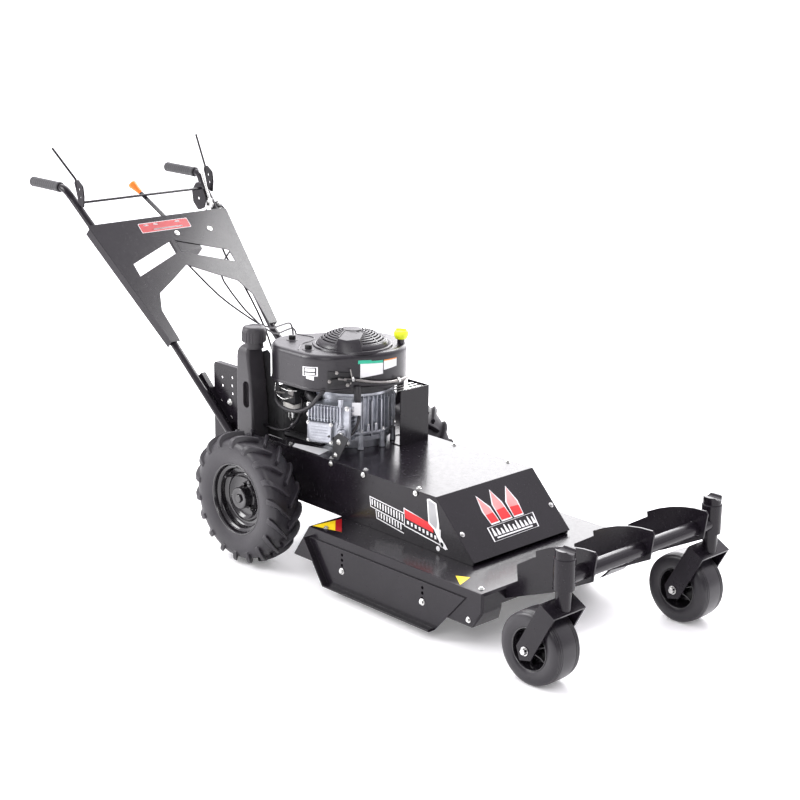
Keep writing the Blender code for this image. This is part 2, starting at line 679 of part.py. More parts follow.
def oil_filler():
    """Oil filler tube beside the housing and its yellow dipstick cap."""
    x, y = OIL_PLACE
    route = [(x - 0.062, y - 0.050, 0.440), (x, y, 0.470), (x, y, 0.668)]
    pipe = tube(bent(route, 0.03, 3), 0.012, 2)
    bore = rod((x, y, 0.560), (x, y, 0.690), 0.0062, 12)
    inside = rod((ENGINE_X, 0, 0.38), (ENGINE_X, 0, 0.53), CRANKCASE_RIB_R + GAP, 32)
    finish_part(cut(pipe, bore, inside), "oil_filler_tube", "black_plastic")
    cap = turned([(0, 0.700), (0.0205, 0.700), (0.0225, 0.696), (0.0225, 0.672), (0.016, 0.6685),
                  (0.0052, 0.6685), (0.0052, 0.600), (0, 0.600)], (x, y, 0), 18)
    finish_part(cap, "oil_cap", "yellow_plastic")
    set_origin(cap, (x, y, 0.6685))


def carburetor():
    """Carburetor body with a round bowl, hanging under the air cleaner."""
    body = bevel(box((-0.052, -0.170, 0.470), (0.030, -0.112, 0.520)), 0.006, 1)
    bowl = turned([(0, 0.474), (0.026, 0.474), (0.026, 0.448), (0.020, 0.440), (0, 0.438)],
                  (-0.010, -0.142, 0), 20)
    throat = rod((-0.010, -0.120, 0.495), (-0.010, -0.142, 0.5385), 0.019, 20)
    finish_part(fuse(body, bowl, throat), "carburetor", "cast_aluminium")


def muffler_parts():
    """Muffler at the engine's front left, inside a folded guard that is open on top."""
    x0, x1, y0, y1, t = 0.180, 0.273, 0.052, 0.173, 0.0025
    z0, z1 = ENGINE_BASE_Z, 0.526
    guard = box((x0, y0, z0), (x1, y1, z1))
    hollow = box((x0 - 0.01, y0 - 0.01, z0 + t), (x1 - t, y1 - t, z1 + 0.01))
    engine = rod((ENGINE_X, 0, z0 - 0.01), (ENGINE_X, 0, 0.56), CRANKCASE_RIB_R + 0.0015, 32)
    filler = rod((0.200, 0.120, 0.30), (0.200, 0.120, 0.70), 0.0145, 20)
    finish_part(cut(guard, hollow, engine, filler), "muffler_guard", "black_paint")
    can = bevel(box((0.222, 0.100, 0.385), (0.262, 0.162, 0.500)), 0.010, 2)
    feet = box((0.232, 0.112, z0 + t + GAP), (0.252, 0.150, 0.395))
    finish_part(fuse(can, feet), "muffler", "bare_steel")


def fuel_parts():
    """Tall moulded fuel tank behind the engine, its screw cap and the hose to the carburetor."""
    low, high = TANK_LOW, TANK_HIGH
    outline = [(low.x, low.z), (high.x, low.z), (high.x - 0.0085, 0.530), (-0.098, 0.618),
               (-0.1085, high.z), (low.x + 0.018, high.z), (low.x, high.z - 0.022)]
    body = bevel(side_plate(outline, low.y, high.y), 0.007, 2)
    cx, cy = TANK_CAP
    neck = rod((cx, cy, high.z - 0.02), (cx, cy, high.z + 0.012), 0.0215, 20)
    mouth = rod((cx, cy, high.z - 0.05), (cx, cy, high.z + 0.05), 0.018, 20)
    slot = bevel(box((-0.122, low.y - 0.01, 0.448), (-0.091, low.y + 0.012, 0.532)), 0.012, 2)
    finish_part(cut(fuse(body, neck), mouth, slot), "fuel_tank", "black_plastic")
    z = high.z
    cap = turned([(0, z + 0.056), (TANK_CAP_R - 0.004, z + 0.056), (TANK_CAP_R, z + 0.050),
                  (TANK_CAP_R, z + 0.010), (0.0246, z + 0.010), (0.0246, z + 0.0127),
                  (0.0172, z + 0.0127), (0.0172, z - 0.012), (0, z - 0.012)], (cx, cy, 0), 24)
    finish_part(cap, "fuel_cap", "black_plastic")
    set_origin(cap, (cx, cy, z))
    hose = tube(flowing([(high.x - 0.0014, -0.200, 0.392), (-0.010, -0.203, 0.392),
                         (0.040, -0.196, 0.405), (0.062, -0.172, 0.446), (0.048, -0.150, 0.486),
                         (0.0330, -0.145, 0.495)], 16), 0.004, 2)
    finish_part(hose, "fuel_hose", "black_rubber")


def breather_tube():
    """The bright pipe that runs round the front of the blower housing, level with its skirt."""
    route = []
    for heading, z in ((-45, 0.582), (-30, 0.577), (-18, 0.573), (-2, 0.565), (14, 0.5595),
                       (28, 0.5575), (42, 0.5550)):
        route.append((*beside_shroud(radians(heading), BREATHER_CLEAR), z))
    finish_part(tube(flowing(route, 24), 0.005, 2), "breather_tube", "zinc_plate")


# ---------------------------------------------------------------- blade drive
def blade_drive():
    """Spindle housing, spindle with its pulley, blade, belt and idler arm."""
    z_low, z_high = 0.1405, 0.2100
    housing = turned([(0.0132, z_high), (0.030, z_high), (0.034, DECK_TOP_Z + 0.006),
                      (0.062, DECK_TOP_Z + 0.004), (0.062, DECK_TOP_Z + GAP),
                      (0.0385, DECK_TOP_Z + GAP), (0.034, z_low + 0.006), (0.030, z_low),
                      (0.0132, z_low)], (SPINDLE_X, 0, 0), 24, closed=True)
    finish_part(housing, "spindle_housing", "cast_aluminium")
    spindle = turned([(0, 0.302), (0.0127, 0.302), (0.060, 0.298), (0.060, 0.294),
                      (0.048, 0.285), (0.060, 0.276), (0.060, 0.272), (0.0127, 0.268),
                      (0.0127, 0.120), (0.032, 0.118), (0.032, BLADE_Z + 0.0043),
                      (0.0078, BLADE_Z + 0.0043), (0.0078, BLADE_Z - 0.0043),
                      (0.0150, BLADE_Z - 0.0043), (0.0150, BLADE_Z - 0.0140),
                      (0, BLADE_Z - 0.0140)], (SPINDLE_X, 0, 0), 16)
    finish_part(spindle, "blade_spindle", "bare_steel")
    half, wide = BLADE_HALF_LEN, 0.038
    outline = [(SPINDLE_X - half + 0.010, -wide), (SPINDLE_X + half - 0.012, -wide),
               (SPINDLE_X + half, 0.010), (SPINDLE_X + half - 0.010, wide),
               (SPINDLE_X - half + 0.012, wide), (SPINDLE_X - half, -0.010)]
    blade = level_plate(outline, BLADE_Z - 0.004, BLADE_Z + 0.004,
                        holes=[circle(SPINDLE_X, 0, 0.0082, 16)])
    edges = []
    for s in (1, -1):
        wedge = box((0.170, s * 0.030 - 0.02, BLADE_Z - 0.02), (0.310, s * 0.030 + 0.02, BLADE_Z))
        wedge.data.transform(Matrix.Rotation(s * radians(22), 4, "X"))
        wedge.location = (SPINDLE_X + s * 0.240, s * 0.045, BLADE_Z - 0.012)
        edges.append(wedge)
    finish_part(cut(blade, *edges), "blade", "bare_steel")
    set_origin(blade, (SPINDLE_X, 0, BLADE_Z))
    belt_and_idler()


def belt_path(offset):
    """Belt run round the engine pulley and the spindle pulley, seen from above."""
    r_a, r_b = 0.0395 + offset, 0.0495 + offset
    span = SPINDLE_X - ENGINE_X
    tilt = atan2(r_b - r_a, sqrt(span ** 2 - (r_b - r_a) ** 2))
    points = []
    for k in range(13):
        angle = pi / 2 + tilt + (pi - 2 * tilt) * k / 12
        points.append((ENGINE_X + r_a * cos(angle), r_a * sin(angle)))
    for k in range(13):
        angle = -pi / 2 - tilt + (pi + 2 * tilt) * k / 12
        points.append((SPINDLE_X + r_b * cos(angle), r_b * sin(angle)))
    return points


def belt_and_idler():
    """Flat ring of the belt, and the idler arm with its wheel and pivot pin."""
    loop = level_plate(belt_path(0.0135), 0.2805, 0.2895, holes=[belt_path(0.0057)])
    finish_part(loop, "blade_belt", "black_rubber")
    pivot = (0.330, 0.150)
    bar = level_plate(rounded([(0.318, 0.140), (0.448, 0.086), (0.461, 0.107), (0.336, 0.164)],
                              0.012, 3), 0.2690, 0.2740)
    wheel = turned([(0, 0.2980), (0.026, 0.2980), (0.026, 0.2730), (0, 0.2730)],
                   (0.448, 0.1040, 0), 20)
    pin = rod((*pivot, 0.262), (*pivot, 0.282), 0.008, 16)
    finish_part(fuse(bar, wheel, pin), "idler_arm", "zinc_plate")
    set_origin(bpy.data.objects["idler_arm"], (*pivot, 0.2715))


# ---------------------------------------------------------------- handle
def rear_plates():
    """Upright handle brackets with a folded top edge and the strap that the tube bolts to."""
    y_out, y_in = 0.1700, 0.1655
    outline = rounded([(-0.366, 0.215), (-0.178, 0.215), (-0.178, 0.533), (-0.366, 0.533, 0.012)],
                      0.003, 3)
    holes = [circle(x, z, 0.0055, 8) for x, z in ((-0.325, 0.488), (-0.274, 0.496),
                                                 (-0.323, 0.461), (-0.275, 0.469),
                                                 (-0.273, 0.443))]
    for side, s in SIDES.items():
        wall = side_plate(outline, *sorted((s * y_in, s * y_out)), holes=holes)
        fold_y = sorted((s * y_out, s * (y_in - 0.016)))
        fold = box((-0.358, fold_y[0], 0.5285), (-0.178, fold_y[1], 0.5330))
        foot_y = sorted((s * y_in, s * (FRAME_HALF_W - SHEET - GAP)))
        spacer = box((-0.330, foot_y[0], 0.219), (-0.190, foot_y[1], 0.226))
        strap = side_plate([(-0.446, 0.461), (-0.412, 0.488), (-0.262, 0.352), (-0.262, 0.300),
                            (-0.268, 0.292)], *sorted((s * (y_out - 0.001), s * 0.1866)))
        finish_part(fuse(wall, fold, spacer, strap), "handle_bracket_" + side, "black_paint")


def mirrored(points, s):
    """Points with their Y turned to the side s."""
    return [Vector((p[0], s * p[1], p[2])) for p in points]


def handle_tubes():
    """One bent tube a side: level under the grip, then down to the rear bracket."""
    route = [(GRIP_REAR_X + 0.004, GRIP_Y, GRIP_Z), (-1.023, GRIP_Y, GRIP_Z),
             tuple(HANDLE_TOP), tuple(HANDLE_MID), tuple(HANDLE_LOW)]
    for side, s in SIDES.items():
        bar = tube(bent(mirrored(route, s), 0.06, 4), HANDLE_TUBE_R, 4)
        finish_part(bar, "handle_tube_" + side, "black_paint")


def grips():
    """Rubber sleeves pushed on to the tube ends, closed at the rear."""
    for side, s in SIDES.items():
        length = GRIP_FRONT_X - GRIP_REAR_X
        bore_r = HANDLE_TUBE_R + 0.0004
        profile = [(0, 0), (GRIP_R - 0.003, 0), (GRIP_R, -0.004), (GRIP_R, -length + 0.003),
                   (GRIP_R - 0.001, -length), (bore_r, -length), (bore_r, -0.0037), (0, -0.0037)]
        sleeve = turned(profile, (GRIP_REAR_X, s * GRIP_Y, GRIP_Z), 16)
        sleeve.rotation_euler = (0, -pi / 2, 0)
        finish_part(sleeve, "grip_" + side, "grey_rubber")


def panel_place():
    """Frame of the handle panel: X across the machine, Y up the slope, Z out of the face."""
    down = Vector((cos(HANDLE_PITCH), 0, -sin(HANDLE_PITCH)))
    normal = Vector((sin(HANDLE_PITCH), 0, cos(HANDLE_PITCH)))
    origin = Vector((-0.8439, 0, 0.850)) + normal * (HANDLE_TUBE_R + 0.0065)
    place = Matrix(((0, 1, 0), -down, normal)).transposed().to_4x4()
    place.translation = origin
    return place


def handle_panel():
    """The sheet between the tubes: chevron windows, an arch, folded edges and a lever guide."""
    top, bottom = 0.073, -0.425
    edge_top, edge_low = 0.2890, 0.2240
    half = [(0.0, -0.138), (0.090, -0.192), (0.163, -0.233), (0.192, -0.300), (0.188, bottom),
            (edge_low, bottom), (edge_top, 0.066), (edge_top - 0.008, top)]
    outline = half + [(-x, y) for x, y in reversed(half[1:])]
    window = [(0.008, -0.033), (0.200, -0.104), (0.200, -0.156), (0.008, -0.084)]
    holes = [window, [(-x, y) for x, y in window]]
    sheet = plate(outline, PANEL_T, panel_place(), holes)
    folds = []
    for s in (1, -1):
        top_pt, low_pt = Vector((edge_top, 0.060)), Vector((edge_low, bottom))
        run = (top_pt - low_pt).length
        lean = atan2(top_pt.x - low_pt.x, top_pt.y - low_pt.y)
        fold = box((-0.0015, 0, -0.028), (0.0015, run, 0.0010))
        fold.data.transform(Matrix.Translation(fold.location))
        fold.location = (0, 0, 0)
        local = Matrix.Translation((s * (low_pt.x - 0.0015), low_pt.y, 0))
        fold.data.transform(panel_place() @ local @ Matrix.Rotation(-s * lean, 4, "Z"))
        folds.append(fold)
    guide = box((0.012, -0.082, -0.034), (0.100, -0.012, -0.001))
    guide.data.transform(Matrix.Translation(guide.location))
    guide.location = (0, 0, 0)
    guide.data.transform(panel_place())
    finish_part(fuse(sheet, *folds, guide), "handle_panel", "black_paint")


def hand_lever(side):
    """A hand lever: a flat plate on the handle and a wire that rises from it."""
    s = SIDES[side]
    y = s * LEVER_Y
    outline = rounded([(-0.980, 1.048), (-0.960, 1.058), (-0.931, 1.038), (-0.926, 1.004),
                       (-0.930, 0.965), (-0.950, 0.9735), (-0.9575, 0.980), (-0.970, 1.020)],
                      0.006, 2)
    face = side_plate(outline, y - 0.0025, y + 0.0025,
                      holes=[circle(-0.953, 1.026, 0.0055, 8), circle(-0.946, 1.000, 0.0050, 8)])
    wire = tube(bent([(-0.966, y, 1.030), (-0.972, y, 1.056), (-1.061, s * 0.300, 1.154)],
                     0.02, 3), 0.004, 2)
    return fuse(face, wire)


def control_levers():
    """Blade lever with its cross rod and quadrant, and the drive lever on the left."""
    blade = hand_lever("right")
    x, z = LEVER_PIVOT.x, LEVER_PIVOT.z
    bar = rod((x, -LEVER_Y, z), (x, 0.2328, z), 0.0045, 10)
    quadrant = side_plate(rounded([(-0.972, 1.000), (-0.950, 1.004), (-0.915, 0.950),
                                   (-0.925, 0.915), (-0.960, 0.902), (-0.990, 0.930),
                                   (-0.996, 0.970)], 0.014, 3), 0.228, 0.232,
                          holes=[circle(-0.958, 0.945, 0.006, 8)])
    fuse(blade, bar, quadrant)
    finish_part(blade, "blade_lever", "black_paint")
    set_origin(blade, (x, -LEVER_Y, z))
    drive = finish_part(hand_lever("left"), "drive_lever", "black_paint")
    set_origin(drive, (x, LEVER_Y, z))


def lever_link():
    """The zinc link rod beside the drive lever, with an eye on top and a clevis below."""
    y = 0.2385
    bar = rod((-0.950, y, 1.036), (-0.908, y, 0.948), 0.0042, 12)
    eye = rod((-0.953, y - 0.004, 1.043), (-0.953, y + 0.004, 1.043), 0.010, 16)
    fork = box((-0.920, y - 0.005, 0.918), (-0.898, y + 0.005, 0.951))
    slot = box((-0.916, y - 0.010, 0.924), (-0.902, y + 0.010, 0.943))
    link = finish_part(cut(fuse(bar, eye, fork), slot), "drive_link", "zinc_plate")
    set_origin(link, (-0.953, y, 1.043))


def shift_lever():
    """Gear lever with its knob; it pivots behind the panel."""
    place = panel_place()
    up = place.to_3x3() @ Vector((0, 1, 0))
    out = place.to_3x3() @ Vector((0, 0, 1))
    base = place.translation
    foot = base - up * 0.004 - out * 0.022
    tip = base + up * 0.185 - out * 0.004
    foot.y, tip.y = 0.072, -0.012
    blade_dir = (tip - foot).normalized()
    length = (tip - foot).length
    bar = bevel(box((-0.0015, -0.009, 0), (0.0015, 0.009, length)), 0.001, 1)
    bar.data.transform(Matrix.Translation(bar.location))
    bar.location = foot
    across = Vector((0, 1, 0))
    side = across - blade_dir * across.dot(blade_dir)
    side.normalize()
    turn = Matrix((side.cross(blade_dir), side, blade_dir)).transposed()
    bar.rotation_euler = turn.to_euler()
    lever = finish_part(bar, "shift_lever", "black_paint")
    set_origin(lever, foot)
    knob = turned([(0, 0.048), (0.008, 0.046), (0.0125, 0.036), (0.0125, 0.022), (0.009, 0.006),
                   (0.007, 0.001), (0, 0.001)], tip, 16)
    knob.rotation_euler = blade_dir.to_track_quat("Z", "Y").to_euler()
    finish_part(knob, "shift_knob", "orange_plastic")


def cables():
    """Control cables: tied to the left tube, two run on to the engine and one to the frame."""
    throttle = [(-0.800, 0.046, 0.766), (-0.783, 0.052, 0.750), (-0.683, 0.100, 0.657),
                (-0.600, 0.150, 0.594), (-0.538, 0.168, 0.569), (-0.440, 0.138, 0.582),
                (-0.290, 0.055, 0.632), (-0.160, -0.022, 0.672), (-0.121, -0.044, 0.655),
                (-0.116, -0.046, 0.610)]
    drive = [(-0.930, 0.290, 0.932), (-0.893, 0.299, 0.899), (-0.842, 0.297, 0.835),
             (-0.822, 0.280, 0.790), (-0.806, 0.235, 0.762), (-0.755, 0.163, 0.713),
             (-0.652, 0.168, 0.622), (-0.590, 0.178, 0.580), (-0.545, 0.179, 0.559),
             (-0.440, 0.150, 0.560), (-0.290, 0.072, 0.612), (-0.165, -0.004, 0.652),
             (-0.124, -0.026, 0.636), (-0.118, -0.030, 0.600)]
    blade = [(-0.905, 0.221, 0.912), (-0.797, 0.206, 0.793), (-0.762, 0.201, 0.760),
             (-0.674, 0.196, 0.689), (-0.602, 0.194, 0.616), (-0.545, 0.192, 0.5460),
             (-0.485, 0.168, 0.500), (-0.430, 0.150, 0.450), (-0.350, 0.135, 0.385),
             (-0.250, 0.115, 0.322), (-0.120, 0.080, 0.300)]
    finish_part(tube(flowing(throttle, 28), 0.0025, 2), "throttle_cable", "black_rubber")
    finish_part(tube(flowing(drive, 38), 0.0025, 2), "drive_cable", "black_rubber")
    finish_part(tube(flowing(blade, 30), 0.0035, 2), "blade_cable", "black_rubber")


def main():
    frame_sides()
    belt_cover()
    deck_shell()
    skid_shoes()
    front_plates()
    front_beam()
    swivel_tubes()
    caster_forks()
    caster_wheels()
    rear_wheels()
    transaxle()
    crankcase()
    cylinder_head()
    blower_housing()
    finger_guard()
    air_cleaner_knobs()
    crank_and_fan()
    oil_filler()
    carburetor()
    muffler_parts()
    fuel_parts()
    breather_tube()
    blade_drive()
    rear_plates()
    handle_tubes()
    grips()
    handle_panel()
    control_levers()
    lever_link()
    shift_lever()
    cables()
    for obj in list(PARTS.objects) + list(CUTTERS.objects):
        obj.location.x += CENTRE_SHIFT


main()
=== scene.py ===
"""Looks of the walk-behind brush mower: finishes, wheels, engine dressing, stickers, lights and camera."""

from math import cos, pi, radians, sin

import bmesh
import bpy
from mathutils import Matrix, Vector


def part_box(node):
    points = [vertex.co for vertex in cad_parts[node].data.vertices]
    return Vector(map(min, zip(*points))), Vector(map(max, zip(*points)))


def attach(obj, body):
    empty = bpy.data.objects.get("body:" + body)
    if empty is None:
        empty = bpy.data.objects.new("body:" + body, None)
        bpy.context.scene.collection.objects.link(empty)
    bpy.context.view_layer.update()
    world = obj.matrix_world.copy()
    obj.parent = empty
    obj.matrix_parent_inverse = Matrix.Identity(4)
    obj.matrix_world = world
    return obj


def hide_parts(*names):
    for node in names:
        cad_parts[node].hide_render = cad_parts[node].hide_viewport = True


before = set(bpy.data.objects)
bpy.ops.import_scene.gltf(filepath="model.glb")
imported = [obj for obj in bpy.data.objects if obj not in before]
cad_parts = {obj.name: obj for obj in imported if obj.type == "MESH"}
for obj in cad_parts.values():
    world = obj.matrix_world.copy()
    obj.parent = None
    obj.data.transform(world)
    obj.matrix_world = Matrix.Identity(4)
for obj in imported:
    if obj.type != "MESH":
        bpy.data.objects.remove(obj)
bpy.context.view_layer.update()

SIDES = {"left": 1, "right": -1}
TURN = 2 * pi
UP = (0, 0, 1)
ACROSS = (0, 1, 0)


def middle(node):
    """Centre of a CAD node's box."""
    low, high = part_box(node)
    return (low + high) / 2


AXLE = middle("rear_tyre_right")
AXLE_X = AXLE.x


def at(x, y, z):
    """A point given forward from the rear axle, to the machine's left, and up from the ground."""
    return Vector((AXLE_X + x, y, z))


# ---------------------------------------------------------------- finishes

def linked(tree, kind, **inputs):
    """A shader node with its inputs set to values or linked to other sockets."""
    node = tree.nodes.new(kind)
    for name, value in inputs.items():
        socket = node.inputs[name.replace("_", " ")]
        if isinstance(value, bpy.types.NodeSocket):
            tree.links.new(value, socket)
        else:
            socket.default_value = value
    return node


def stepped(tree, source, low, high, out_low, out_high):
    """Maps a grey value onto another range."""
    node = linked(tree, "ShaderNodeMapRange", Value=source, From_Min=low, From_Max=high, To_Min=out_low,
        To_Max=out_high)
    return node.outputs["Result"]


def blended(tree, factor, first, second):
    """Mixes two colours."""
    node = tree.nodes.new("ShaderNodeMix")
    node.data_type = "RGBA"
    for socket, value in ((node.inputs[0], factor), (node.inputs[6], first), (node.inputs[7], second)):
        if isinstance(value, bpy.types.NodeSocket):
            tree.links.new(value, socket)
        else:
            socket.default_value = value
    return node.outputs[2]


def finish(name, dark, light, rough=(0.3, 0.4), metallic=0.0, patch=7.0, grain=700.0, bump=0.1, depth=0.0004,
        coat=0.0, specular=0.5, dust=None, dust_share=0.0, glow=0.0):
    """A procedural finish: soft patches of colour, speckle in the gloss, grain in the bump, and dust."""
    material = bpy.data.materials.new(name)
    material.use_nodes = True
    tree = material.node_tree
    tree.nodes.clear()
    place = tree.nodes.new("ShaderNodeTexCoord").outputs["Object"]
    clouds = linked(tree, "ShaderNodeTexNoise", Vector=place, Scale=patch, Detail=5.0, Roughness=0.6)
    speckle = linked(tree, "ShaderNodeTexNoise", Vector=place, Scale=patch * 14, Detail=3.0, Roughness=0.7)
    fine = linked(tree, "ShaderNodeTexNoise", Vector=place, Scale=grain, Detail=2.0, Roughness=0.5)
    colour = blended(tree, stepped(tree, clouds.outputs["Fac"], 0.3, 0.7, 0.0, 1.0), (*dark, 1), (*light, 1))
    if dust:
        share = stepped(tree, speckle.outputs["Fac"], 0.45, 0.75, 0.0, dust_share)
        colour = blended(tree, share, colour, (*dust, 1))
    gloss = stepped(tree, speckle.outputs["Fac"], 0.3, 0.7, rough[0], rough[1])
    relief = linked(tree, "ShaderNodeBump", Height=fine.outputs["Fac"], Strength=bump, Distance=depth)
    shader = linked(tree, "ShaderNodeBsdfPrincipled", Base_Color=colour, Roughness=gloss, Metallic=metallic,
        Normal=relief.outputs["Normal"])
    shader.inputs["Specular IOR Level"].default_value = specular
    shader.inputs["Coat Weight"].default_value = coat
    shader.inputs["Emission Color"].default_value = (1, 1, 1, 1)
    shader.inputs["Emission Strength"].default_value = glow
    shader.inputs["Coat Roughness"].default_value = 0.12
    output = tree.nodes.new("ShaderNodeOutputMaterial")
    tree.links.new(shader.outputs["BSDF"], output.inputs["Surface"])
    return material


def vinyl(name, dark, light, rough=(0.28, 0.4), patch=14):
    """The finish of a thin plastic sticker."""
    return finish(name, dark, light, rough, patch=patch, grain=400, bump=0.08)


POWDER = finish("powder_coat", (0.0065, 0.005, 0.0074), (0.0105, 0.0084, 0.012), (0.2, 0.28), grain=500,
    bump=0.05, depth=0.0001, specular=0.24, coat=0.06, dust=(0.05, 0.045, 0.05), dust_share=0.015)
HOUSING = finish("engine_housing_plastic", (0.012, 0.01, 0.0135), (0.018, 0.0155, 0.02), (0.27, 0.38),
    grain=1400, bump=0.2, dust=(0.07, 0.065, 0.07), dust_share=0.03)
DARK_PLASTIC = finish("dark_plastic", (0.006, 0.0055, 0.0065), (0.01, 0.0092, 0.011), (0.4, 0.55),
    grain=1200, bump=0.3)
TANK = finish("tank_plastic", (0.021, 0.019, 0.022), (0.029, 0.0265, 0.0305), (0.36, 0.46), grain=1500,
    bump=0.3, dust=(0.08, 0.075, 0.08), dust_share=0.03)
TYRE = finish("tyre_rubber", (0.01, 0.0085, 0.012), (0.017, 0.0145, 0.0195), (0.36, 0.5), patch=12, grain=500,
    bump=0.3, dust=(0.08, 0.07, 0.075), dust_share=0.06)
CASTER_TYRE = finish("caster_rubber", (0.0075, 0.006, 0.009), (0.012, 0.01, 0.014), (0.27, 0.38), patch=14,
    grain=900, bump=0.15, dust=(0.06, 0.055, 0.06), dust_share=0.04)
RIM = finish("rim_paint", (0.006, 0.005, 0.0065), (0.009, 0.008, 0.01), (0.14, 0.22), grain=500,
    bump=0.03, coat=0.3)
ALUMINIUM = finish("cast_aluminium", (0.36, 0.37, 0.41), (0.58, 0.6, 0.64), (0.3, 0.46), metallic=0.9,
    patch=30, grain=800, bump=0.5, dust=(0.16, 0.17, 0.18), dust_share=0.45)
CASTING = finish("dark_casting", (0.022, 0.022, 0.023), (0.04, 0.04, 0.042), (0.45, 0.6), metallic=0.3,
    patch=25, grain=500, bump=0.6)
STEEL = finish("bare_steel", (0.25, 0.24, 0.23), (0.4, 0.39, 0.38), (0.3, 0.5), metallic=0.95, patch=20,
    grain=300, bump=0.3, dust=(0.16, 0.1, 0.06), dust_share=0.25)
ZINC = finish("zinc_plate", (0.55, 0.55, 0.54), (0.76, 0.76, 0.74), (0.2, 0.34), metallic=1.0, patch=60,
    grain=600, bump=0.15)
HOT_STEEL = finish("muffler_steel", (0.3, 0.28, 0.26), (0.55, 0.52, 0.48), (0.25, 0.42), metallic=0.9,
    patch=18, grain=400, bump=0.2, dust=(0.2, 0.12, 0.07), dust_share=0.2)
ORANGE = finish("orange_plastic", (0.78, 0.15, 0.004), (0.9, 0.2, 0.006), (0.3, 0.42), patch=30,
    grain=1500, bump=0.2)
YELLOW = finish("yellow_plastic", (0.72, 0.8, 0.015), (0.84, 0.92, 0.03), (0.35, 0.5), patch=40,
    grain=1500, bump=0.2)
GRIP = finish("grip_rubber", (0.022, 0.022, 0.024), (0.034, 0.033, 0.036), (0.5, 0.68), patch=40,
    grain=900, bump=0.5)
SHEATH = finish("cable_sheath", (0.007, 0.006, 0.008), (0.012, 0.01, 0.013), (0.4, 0.52), patch=50, grain=900,
    bump=0.2, specular=0.25)
HOSE = finish("hose_rubber", (0.016, 0.015, 0.017), (0.026, 0.025, 0.028), (0.35, 0.5), patch=40,
    grain=900, bump=0.3)
BELT = finish("belt_rubber", (0.012, 0.012, 0.012), (0.025, 0.024, 0.023), (0.6, 0.75), patch=30,
    grain=600, bump=0.5)
WHITE = vinyl("white_vinyl", (0.8, 0.8, 0.81), (0.88, 0.88, 0.89), (0.3, 0.42), 20)
CREAM = finish("pale_plastic", (0.62, 0.6, 0.56), (0.74, 0.72, 0.68), (0.4, 0.5), patch=30,
    grain=900, bump=0.2)
RED = vinyl("red_vinyl", (0.32, 0.004, 0.007), (0.4, 0.007, 0.011))
SCARLET = vinyl("scarlet_vinyl", (0.6, 0.006, 0.01), (0.7, 0.012, 0.016))
PINK = vinyl("faded_red_vinyl", (0.62, 0.18, 0.18), (0.74, 0.36, 0.35))
GREY_VINYL = vinyl("grey_vinyl", (0.3, 0.3, 0.31), (0.4, 0.4, 0.41))
GREEN = vinyl("green_vinyl", (0.02, 0.42, 0.26), (0.03, 0.5, 0.32), (0.3, 0.4), 20)
AMBER = vinyl("amber_vinyl", (0.8, 0.24, 0.02), (0.88, 0.3, 0.03), (0.3, 0.4), 20)
SUN = vinyl("yellow_vinyl", (0.86, 0.6, 0.01), (0.92, 0.68, 0.02), (0.3, 0.4), 20)
FLOOR = finish("studio_floor", (0.93, 0.93, 0.93), (0.95, 0.95, 0.95), (0.55, 0.65), patch=1.5, grain=60,
    bump=0.02, glow=0.18)


# ---------------------------------------------------------------- mesh building

def frame_of(axis):
    """Two unit vectors square to an axis."""
    axis = Vector(axis).normalized()
    hint = Vector(UP) if abs(axis.z) < 0.9 else Vector((1, 0, 0))
    side = axis.cross(hint).normalized()
    return axis, side, side.cross(axis).normalized()


def circle(centre, radius, normal, steps):
    """Points round a circle."""
    _, side, up = frame_of(normal)
    return [Vector(centre) + side * (radius * cos(TURN * i / steps)) + up * (radius * sin(TURN * i / steps))
        for i in range(steps)]


def curve_through(points, count):
    """A smooth line through the points, as count short steps for each gap."""
    points = [Vector(p) for p in points]
    ends = [points[0] * 2 - points[1], *points, points[-1] * 2 - points[-2]]
    line = []
    for a, b, c, d in zip(ends, ends[1:], ends[2:], ends[3:]):
        for k in range(count):
            t = k / count
            line.append(0.5 * (2 * b + (c - a) * t + (2 * a - 5 * b + 4 * c - d) * t * t
                + (3 * b - a - 3 * c + d) * t ** 3))
    return [*line, points[-1]]


def rounded_outline(width, depth, radius, steps=5):
    """Corner-rounded rectangle as flat (x, y) pairs round its centre."""
    corners = ((1, 1), (-1, 1), (-1, -1), (1, -1))
    outline = []
    for quarter, (sx, sy) in enumerate(corners):
        for k in range(steps + 1):
            angle = (quarter + k / steps) * pi / 2
            outline.append((sx * (width / 2 - radius) + radius * cos(angle),
                sy * (depth / 2 - radius) + radius * sin(angle)))
    return outline


def mesh_of(bm, name):
    """A mesh made from a bmesh, with its faces turned outwards."""
    bmesh.ops.recalc_face_normals(bm, faces=bm.faces[:])
    mesh = bpy.data.meshes.new(name)
    bm.to_mesh(mesh)
    bm.free()
    return mesh


def placed(name, data):
    """A new object in the scene."""
    obj = bpy.data.objects.new(name, data)
    bpy.context.scene.collection.objects.link(obj)
    return obj


